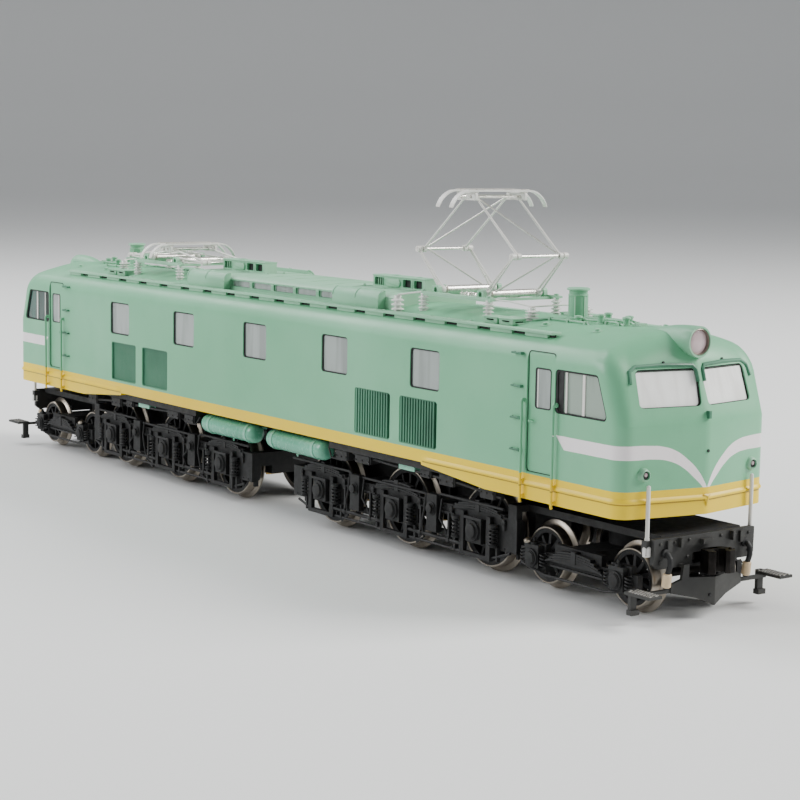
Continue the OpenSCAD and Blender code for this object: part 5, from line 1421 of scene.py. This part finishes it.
def end_beam(e, end):
    """Beam, pilot, posts, hoses and corner steps at one end."""
    face = BEAM_FACE
    beam, posts, hoses = Shape(), Shape(), Shape()
    low, top = RAIL + 8.2, RAIL + 13.5
    outline = rounded([(-12, low + 0.8), (-11, low), (11, low), (12, low + 0.8), (12, top), (-12, top)], 0.25, 3)
    solid = Shape()
    solid.prism(outline, lambda u, v, w: (118 + w, u, v))
    cut = Shape()
    cut.prism(rect(-2.9, RAIL + 8.1, 2.9, RAIL + 10.4, 0.3), lambda u, v, w: (117 + 3 * w, u, v))
    beam.put_mesh(carved(solid, cut, "beam"))
    for s in (1, -1):
        pilot = Shape()
        edge = [(-0.1, RAIL + 1.3), (3.6, RAIL + 2.8), (8.6, RAIL + 3.9), (8.6, RAIL + 5.4), (6.5, RAIL + 6.2),
                (6.2, low + 0.6), (5.1, low + 0.6), (5.1, RAIL + 6.5), (-0.1, RAIL + 6.3)]
        pilot.prism(edge, lambda u, v, w: (0.8 * w - 0.4, u, v))
        part = pilot.moved(Matrix.Translation((face + 2.4, 0, 0)) @ Matrix.Rotation(math.radians(14), 4, "Z"))
        part.block((face - 0.1, 5.1, low), (face + 1.4, 6.2, low + 0.6))
        for y, z in ((10.6, top - 1), (7.2, top - 1), (3.8, top - 0.8), (10.6, low + 1.2), (4.2, low + 1.6)):
            part.join(stud((face, y, z), (1, 0, 0), 0.3, 0.3, 8))
        part.block((face, 8.2, top - 2.4), (face + 0.5, 9.2, top - 0.4))
        part.block((face, 6.0, top - 1.8), (face + 0.9, 6.5, top - 0.2))
        part.block((face - 1.4, 14.2, RAIL + 4.5), (face + 4.6, 17.3, RAIL + 5.0))
        part.block((face - 1.8, 14.6, RAIL + 0.9), (face - 1.1, 16, RAIL + 5.1))
        part.block((face - 0.3, 7.4, RAIL + 4), (face + 0.5, 15, RAIL + 4.6))
        part.block((face - 1.9, 14.4, RAIL + 0.7), (face - 0.6, 16.2, RAIL + 1.6))
        for k in range(4):
            line = row(box_part((face - 1.1 + 0.35 * (k % 2), 14.5 + k * 0.68, RAIL + 4.98),
                                (face - 0.75 + 0.35 * (k % 2), 14.8 + k * 0.68, RAIL + 5.13)), 8, (0.7, 0, 0))
            part.join(line.moved(Matrix.Identity(4), 3))
        part.block((116.9, 11.3, RAIL + 10.6), (118.1, 13.0, RAIL + 13.2))
        beam.join(part.moved(Matrix.Diagonal((1, s, 1, 1))))
        x, y = POST[0], s * POST[1]
        posts.pipe([(x, y, RAIL + 10.3), (x, y, RAIL + 22.5)], 0.36, 14)
        posts.lathe((x, y, RAIL + 22.2), (0, 0, 1), ((0, 0.37), (0.3, 0.3), (0.45, 0.1)), 14)
        posts.lathe((x, y, RAIL + 10.4), (0, 0, 1), ((0, 0.7), (0.5, 0.75), (1.5, 0.75), (1.8, 0.5), (3.2, 0.4)), 14)
        y = s * HOSE_Y
        hoses.pipe([(face - 0.1, y, RAIL + 10.9), (face + 0.9, y, RAIL + 10.8), (face + 1.5, y, RAIL + 10.1),
                    (face + 1.55, y, RAIL + 9.0), (face + 1.2, y, RAIL + 8.0), (face + 0.9, y, RAIL + 7.3)], 0.48, 14)
        hoses.lathe((face, y, RAIL + 10.9), (1, 0, 0), ((-0.1, 0.8), (0.5, 0.8), (0.6, 0.5)), 14)
        hoses.lathe((face + 0.95, y, RAIL + 7.6), (-0.12, 0, -1), ((0, 0.55), (0.15, 0.78), (2.3, 0.82), (2.5, 0.6)),
                    18, 1)
        hoses.lathe((face + 0.65, y, RAIL + 5.2), (-0.12, 0, -1), ((0, 0.5), (0.35, 0.5)), 14)
    beam.block((face, -1.2, RAIL + 11.8), (face + 0.9, 1.2, RAIL + 12.6))
    beam.lathe((face + 2.1, -1.0, RAIL + 3.2), (1, 0, 0), ((0, 0.32), (0.75, 0.3)), 10, 2)
    flip = Matrix.Diagonal((e, e, 1, 1))
    piece(f"end_beam_{end}_castings", beam.moved(flip), ["dark", "steel", "rubber", "silver"], f"unit_{end}",
          [f"end_beam_{end}"], angle=30)
    piece(f"hand_posts_{end}", posts.moved(flip), ["white"], f"unit_{end}")
    piece(f"brake_hoses_{end}", hoses.moved(flip), ["rubber", "cream"], f"unit_{end}")


def coupler(e, end):
    """Knuckle coupler with its shank, lift lever and pin."""
    out = Shape()
    z, face = COUPLER_Z, COUPLER_FACE
    out.lathe((116.4, 0, z - 0.7), (0, 0, 1), ((-1.0, 0.6), (-0.02, 0.6), (0, 1.4), (1.4, 1.4)), 20)
    out.block((116.4, -0.9, z - 0.7), (face - 3.6, 0.9, z + 0.7))
    head = [(face - 4, -2.4), (face - 3.2, -2.6), (face - 1.5, -2.9), (face - 0.5, -2.2), (face - 1.0, -1.6),
            (face - 2.4, -1.2), (face - 2.8, -0.3), (face - 2.6, 0.6), (face - 1.5, 1.0), (face - 0.6, 0.2),
            (face - 0.05, 0.8), (face - 0.2, 2.2), (face - 1.1, 2.8), (face - 2.6, 2.8), (face - 4, 2.3)]
    out.prism(rounded(head, 0.12, 2), lambda u, v, w: (u, v, z - 2 + 4 * w))
    out.lathe((face - 1.2, 1.9, z - 2.2), (0, 0, 1), ((0, 0.35), (4.4, 0.35), (4.5, 0.2)), 12)
    out.block((face - 4.2, -1.4, z + 1.4), (face - 2.8, 1.4, z + 2.0))
    piece(f"coupler_{end}_castings", out.moved(Matrix.Diagonal((e, e, 1, 1))), ["steel"], f"coupler_{end}",
          [f"coupler_{end}"], bevel=0.08)


# ---- pantographs ----

LOWER_ARM = 10.75
UPPER_ARM = 17.05
BASE_HALF = 7.0
ARM_Y = 6.36
RAISED = (math.radians(44.26), math.radians(39.3))
FOLDED = (0.0, math.radians(8.0))


def lower_frame(lo):
    """Tapered lower arms with hubs, cross shaft and brace, for the forward half."""
    out = Shape()
    a = (BASE_HALF, ARM_Z)
    e = (a[0] + LOWER_ARM * math.cos(lo), a[1] + LOWER_ARM * math.sin(lo))
    out.lathe((a[0], -ARM_Y - 1.1, a[1]), (0, 1, 0), ((0, 0.4), (2.1, 0.4), (2.2, 0.75), (2 * ARM_Y, 0.75),
                                                     (2 * ARM_Y + 0.1, 0.4), (2 * ARM_Y + 2.2, 0.4)), 18, 1)
    out.rod((e[0], -ARM_Y - 0.55, e[1]), (e[0], ARM_Y + 0.55, e[1]), 0.3, 14, 1)
    along = Vector((math.cos(lo), 0, math.sin(lo)))
    up = Vector((-math.sin(lo), 0, math.cos(lo)))
    for s in (1, -1):
        y = s * ARM_Y
        base, elbow = Vector((a[0], y, a[1])), Vector((e[0], y, e[1]))
        for k in (1, -1):
            out.rod(base + up * 0.42 * k, elbow + up * 0.14 * k - along * 0.2, 0.24, 10, 0, 0.17)
        for t in (0.3, 0.62):
            mid = base.lerp(elbow, t)
            out.rod(mid - up * 0.34, mid + up * 0.34, 0.15, 8, 0)
        loop_turned(out, (e[0], y - 0.5, e[1]), (0, 1, 0), [(0, 0.24), (0, 0.62), (1.0, 0.62), (1.0, 0.24)], 20, 0)
        out.lathe((a[0], y - 0.55, a[1]), (0, 1, 0), ((0, 0.75), (0.15, 0.85), (0.95, 0.85), (1.1, 0.75)), 18, 0)
    out.rod((a[0], 1.3 - ARM_Y, a[1]), (e[0], ARM_Y - 2.16, e[1]), 0.2, 10, 0)
    return out


def upper_frame(lo, up):
    """Slim upper arms with a diagonal brace and the head shaft, for the forward half."""
    out = Shape()
    e = (BASE_HALF + LOWER_ARM * math.cos(lo), ARM_Z + LOWER_ARM * math.sin(lo))
    h = (e[0] - UPPER_ARM * math.cos(up), e[1] + UPPER_ARM * math.sin(up))
    y = ARM_Y - 1.2
    for s in (1, -1):
        loop_turned(out, (e[0], s * y - 0.4, e[1]), (0, 1, 0), [(0, 0.35), (0, 0.62), (0.8, 0.62), (0.8, 0.35)], 20, 0)
        start = Vector((e[0], s * y, e[1]))
        stop = Vector((h[0], s * y, h[1]))
        out.rod(start.lerp(stop, 0.025), stop, 0.27, 12, 0, 0.2)
    out.rod(Vector((e[0], y, e[1])).lerp(Vector((h[0], -y, h[1])), 0.05), (h[0], -y, h[1]), 0.17, 10, 1)
    out.rod((h[0], -ARM_Y - 0.3, h[1]), (h[0], ARM_Y + 0.3, h[1]), 0.28, 14, 1)
    return out


def head_spot(lo, up):
    """Place of the fore head shaft from the pantograph's centre."""
    return (BASE_HALF + LOWER_ARM * math.cos(lo) - UPPER_ARM * math.cos(up),
            ARM_Z + LOWER_ARM * math.sin(lo) + UPPER_ARM * math.sin(up))


def pan_head(lo, up):
    """Contact strips with down-turned horns on their spring boxes."""
    hx, z = head_spot(lo, up)
    x = hx - 1.3
    out = Shape()
    for s in (1, -1):
        y = s * (ARM_Y - 0.25)
        solid, cut = Shape(), Shape()
        plate = rounded([(-2.9, z - 0.7), (2.9, z - 0.7), (2.9, z + 0.6), (1.6, z + 1.08), (-1.6, z + 1.08),
                         (-2.9, z + 0.6)], 0.25, 3)
        solid.prism(plate, wall_place(y - 0.25, y + 0.25))
        cut.lathe((1.3, y - 1, z), (0, 1, 0), ((0, 0.32), (2, 0.32)), 20)
        cut.prism(rounded([(-2.1, z - 0.36), (-0.05, z - 0.36), (-0.05, z + 0.36), (-2.1, z + 0.36)], 0.34, 5),
                  wall_place(y - 1, y + 1))
        out.put_mesh(carved(solid, cut, "plate"))
        out.block((-2.5, y - 0.7, z + 0.7), (2.5, y + 0.7, z + 1.1))
    for sx in (-2.1, 2.1):
        for w, t, slot in ((0.62, 0.0, 0), (0.36, 0.2, 1)):
            top = []
            for y in np.linspace(-12, 12, 41):
                bend = max(0.0, abs(y) - 7.6)
                drop = bend * bend * 0.155
                reach = y if abs(y) < 11 else math.copysign(11 + (abs(y) - 11) * 0.65, y)
                top.append((reach, z + 1.28 + t - drop))
            if slot:
                top = [p for p in top if abs(p[0]) < 7.4]
            low = [(a, b - 0.3) for a, b in reversed(top)]
            out.prism(top + low, lambda u, v, k, sx=sx, w=w: (sx - w + 2 * w * k, u, v), slot)
    return out.moved(Matrix.Translation((x, 0, 0)))


def pantographs():
    """Both pantographs: two lower frames, two upper frames and a head each."""
    for end, cx, pose in (("front", PANTO_X, RAISED), ("rear", -PANTO_X, FOLDED)):
        for half, turn in (("fore", 0.0), ("aft", math.pi)):
            put = Matrix.Translation((cx, 0, 0)) @ Matrix.Rotation(turn, 4, "Z")
            for level, part in (("lower", lower_frame(pose[0])), ("upper", upper_frame(*pose))):
                name = f"pan_{end}_{level}_{half}"
                piece(f"{name}_tubes", part.moved(put), ["white", "silver"], name, [name], angle=45)
        name = f"pan_{end}_head"
        piece(f"{name}_strips", pan_head(*pose).moved(Matrix.Translation((cx, 0, 0))), ["white", "silver"], name,
              [name], angle=40)


def pantograph_bases():
    """Base frames, bearings and raising springs on the insulators."""
    green, metal = Shape(), Shape()
    top = ARM_Z - 0.9
    for cx in (PANTO_X, -PANTO_X):
        part, springs = Shape(), Shape()
        for y in (-INSULATOR_Y, INSULATOR_Y):
            part.block((-11.4, y - 0.5, top), (11.4, y + 0.5, top + 0.42))
            part.block((-11.3, y - 0.45, top - 0.3), (11.3, y - 0.25, top + 0.2))
            for x in (-INSULATOR_X, INSULATOR_X):
                part.lathe((x, y, top + 0.3), (0, 0, 1), ((0, 0.5), (0.45, 0.5), (0.5, 0.25)), 10)
        for x in (-8.6, 8.6):
            part.block((x - 0.4, -8.3, top - 0.35), (x + 0.4, 8.3, top + 0.12))
        for x in (-BASE_HALF, BASE_HALF):
            for s in (1, -1):
                lo, hi = ARM_Y + 0.75, ARM_Y + 1.6
                solid, cut = Shape(), Shape()
                solid.prism(rounded([(x - 1.1, top + 0.1), (x + 1.1, top + 0.1), (x + 0.9, ARM_Z + 0.85),
                                     (x - 0.9, ARM_Z + 0.85)], 0.4, 4), wall_place(s * lo, s * hi))
                cut.lathe((x, -12, ARM_Z), (0, 1, 0), ((0, 0.5), (24, 0.5)), 20)
                part.put_mesh(carved(solid, cut, "cheek"))
        for s in (1, -1):
            for y in (2.2, 3.4):
                path = [(-4.6 + 9.2 * t / 60, s * y + 0.42 * math.cos(t * 1.3), top + 0.1 + 0.42 * math.sin(t * 1.3))
                        for t in range(61)]
                springs.pipe(path, 0.13, 6)
            springs.rod((-5.8, s * 2.8, top + 0.1), (5.8, s * 2.8, top + 0.1), 0.16, 8)
        part.block((-0.9, -8.3, top - 0.35), (0.9, 8.3, top + 0.0))
        green.join(part.moved(Matrix.Translation((cx, 0, 0))))
        metal.join(springs.moved(Matrix.Translation((cx, 0, 0))))
    piece("pantograph_base_frames", green, ["green"], stands=["pantograph_bases"], angle=30)
    piece("pantograph_springs", metal, ["silver"])


def running_gear():
    """Wheels, unit and truck details, end beams and couplers."""
    for number in range(1, 7):
        wheelset(number, "driving", 7.8, 14, 1.9, 1.0, 9.7)
    for number in range(1, 5):
        wheelset(number, "guide", 5.375, 10, 1.4, 0.9, 9.7)
    side = unit_side_detail()
    truck, cap = guide_detail()
    for e, end in ((1, "front"), (-1, "rear")):
        piece(f"unit_gear_{end}", both_sides_at(side, e), ["black"], f"unit_{end}", angle=35)
        piece(f"guide_gear_{end}", both_sides_at(truck, e), ["black"], f"guide_truck_{end}", angle=35)
        piece(f"guide_caps_{end}", both_sides_at(cap, e), ["nickel"], f"guide_truck_{end}")
        end_beam(e, end)
        coupler(e, end)


def inner_parts():
    """Finishes on the carried-over parts."""
    both = lambda *names: [f"{n}_{end}" for n in names for end in ENDS]
    dress(["side_glazing"], "pane")
    dress(["cab_glazing"], "screen")
    dress(["chassis_plate", "ballast_weights"] + both("unit_frame", "guide_frame", "gearbox"), "black")
    dress(["motor_housing", "body_screws"], "steel")
    dress(["motor_rotor"], "copper")
    dress(["circuit_board"], "board")
    dress(both("input_shaft", "worm_shaft"), "brass")
    dress(both("cardan"), "steel")


camera()
studio()
build_shell()
roof_monitor()
roof_vents()
running_boards()
roof_fittings()
insulators()
headlights()
marker_lamps()
window_seals()
grilles()
grab_rails()
nose_trim()
air_tanks()
underbody_detail()
running_gear()
pantograph_bases()
pantographs()
inner_parts()
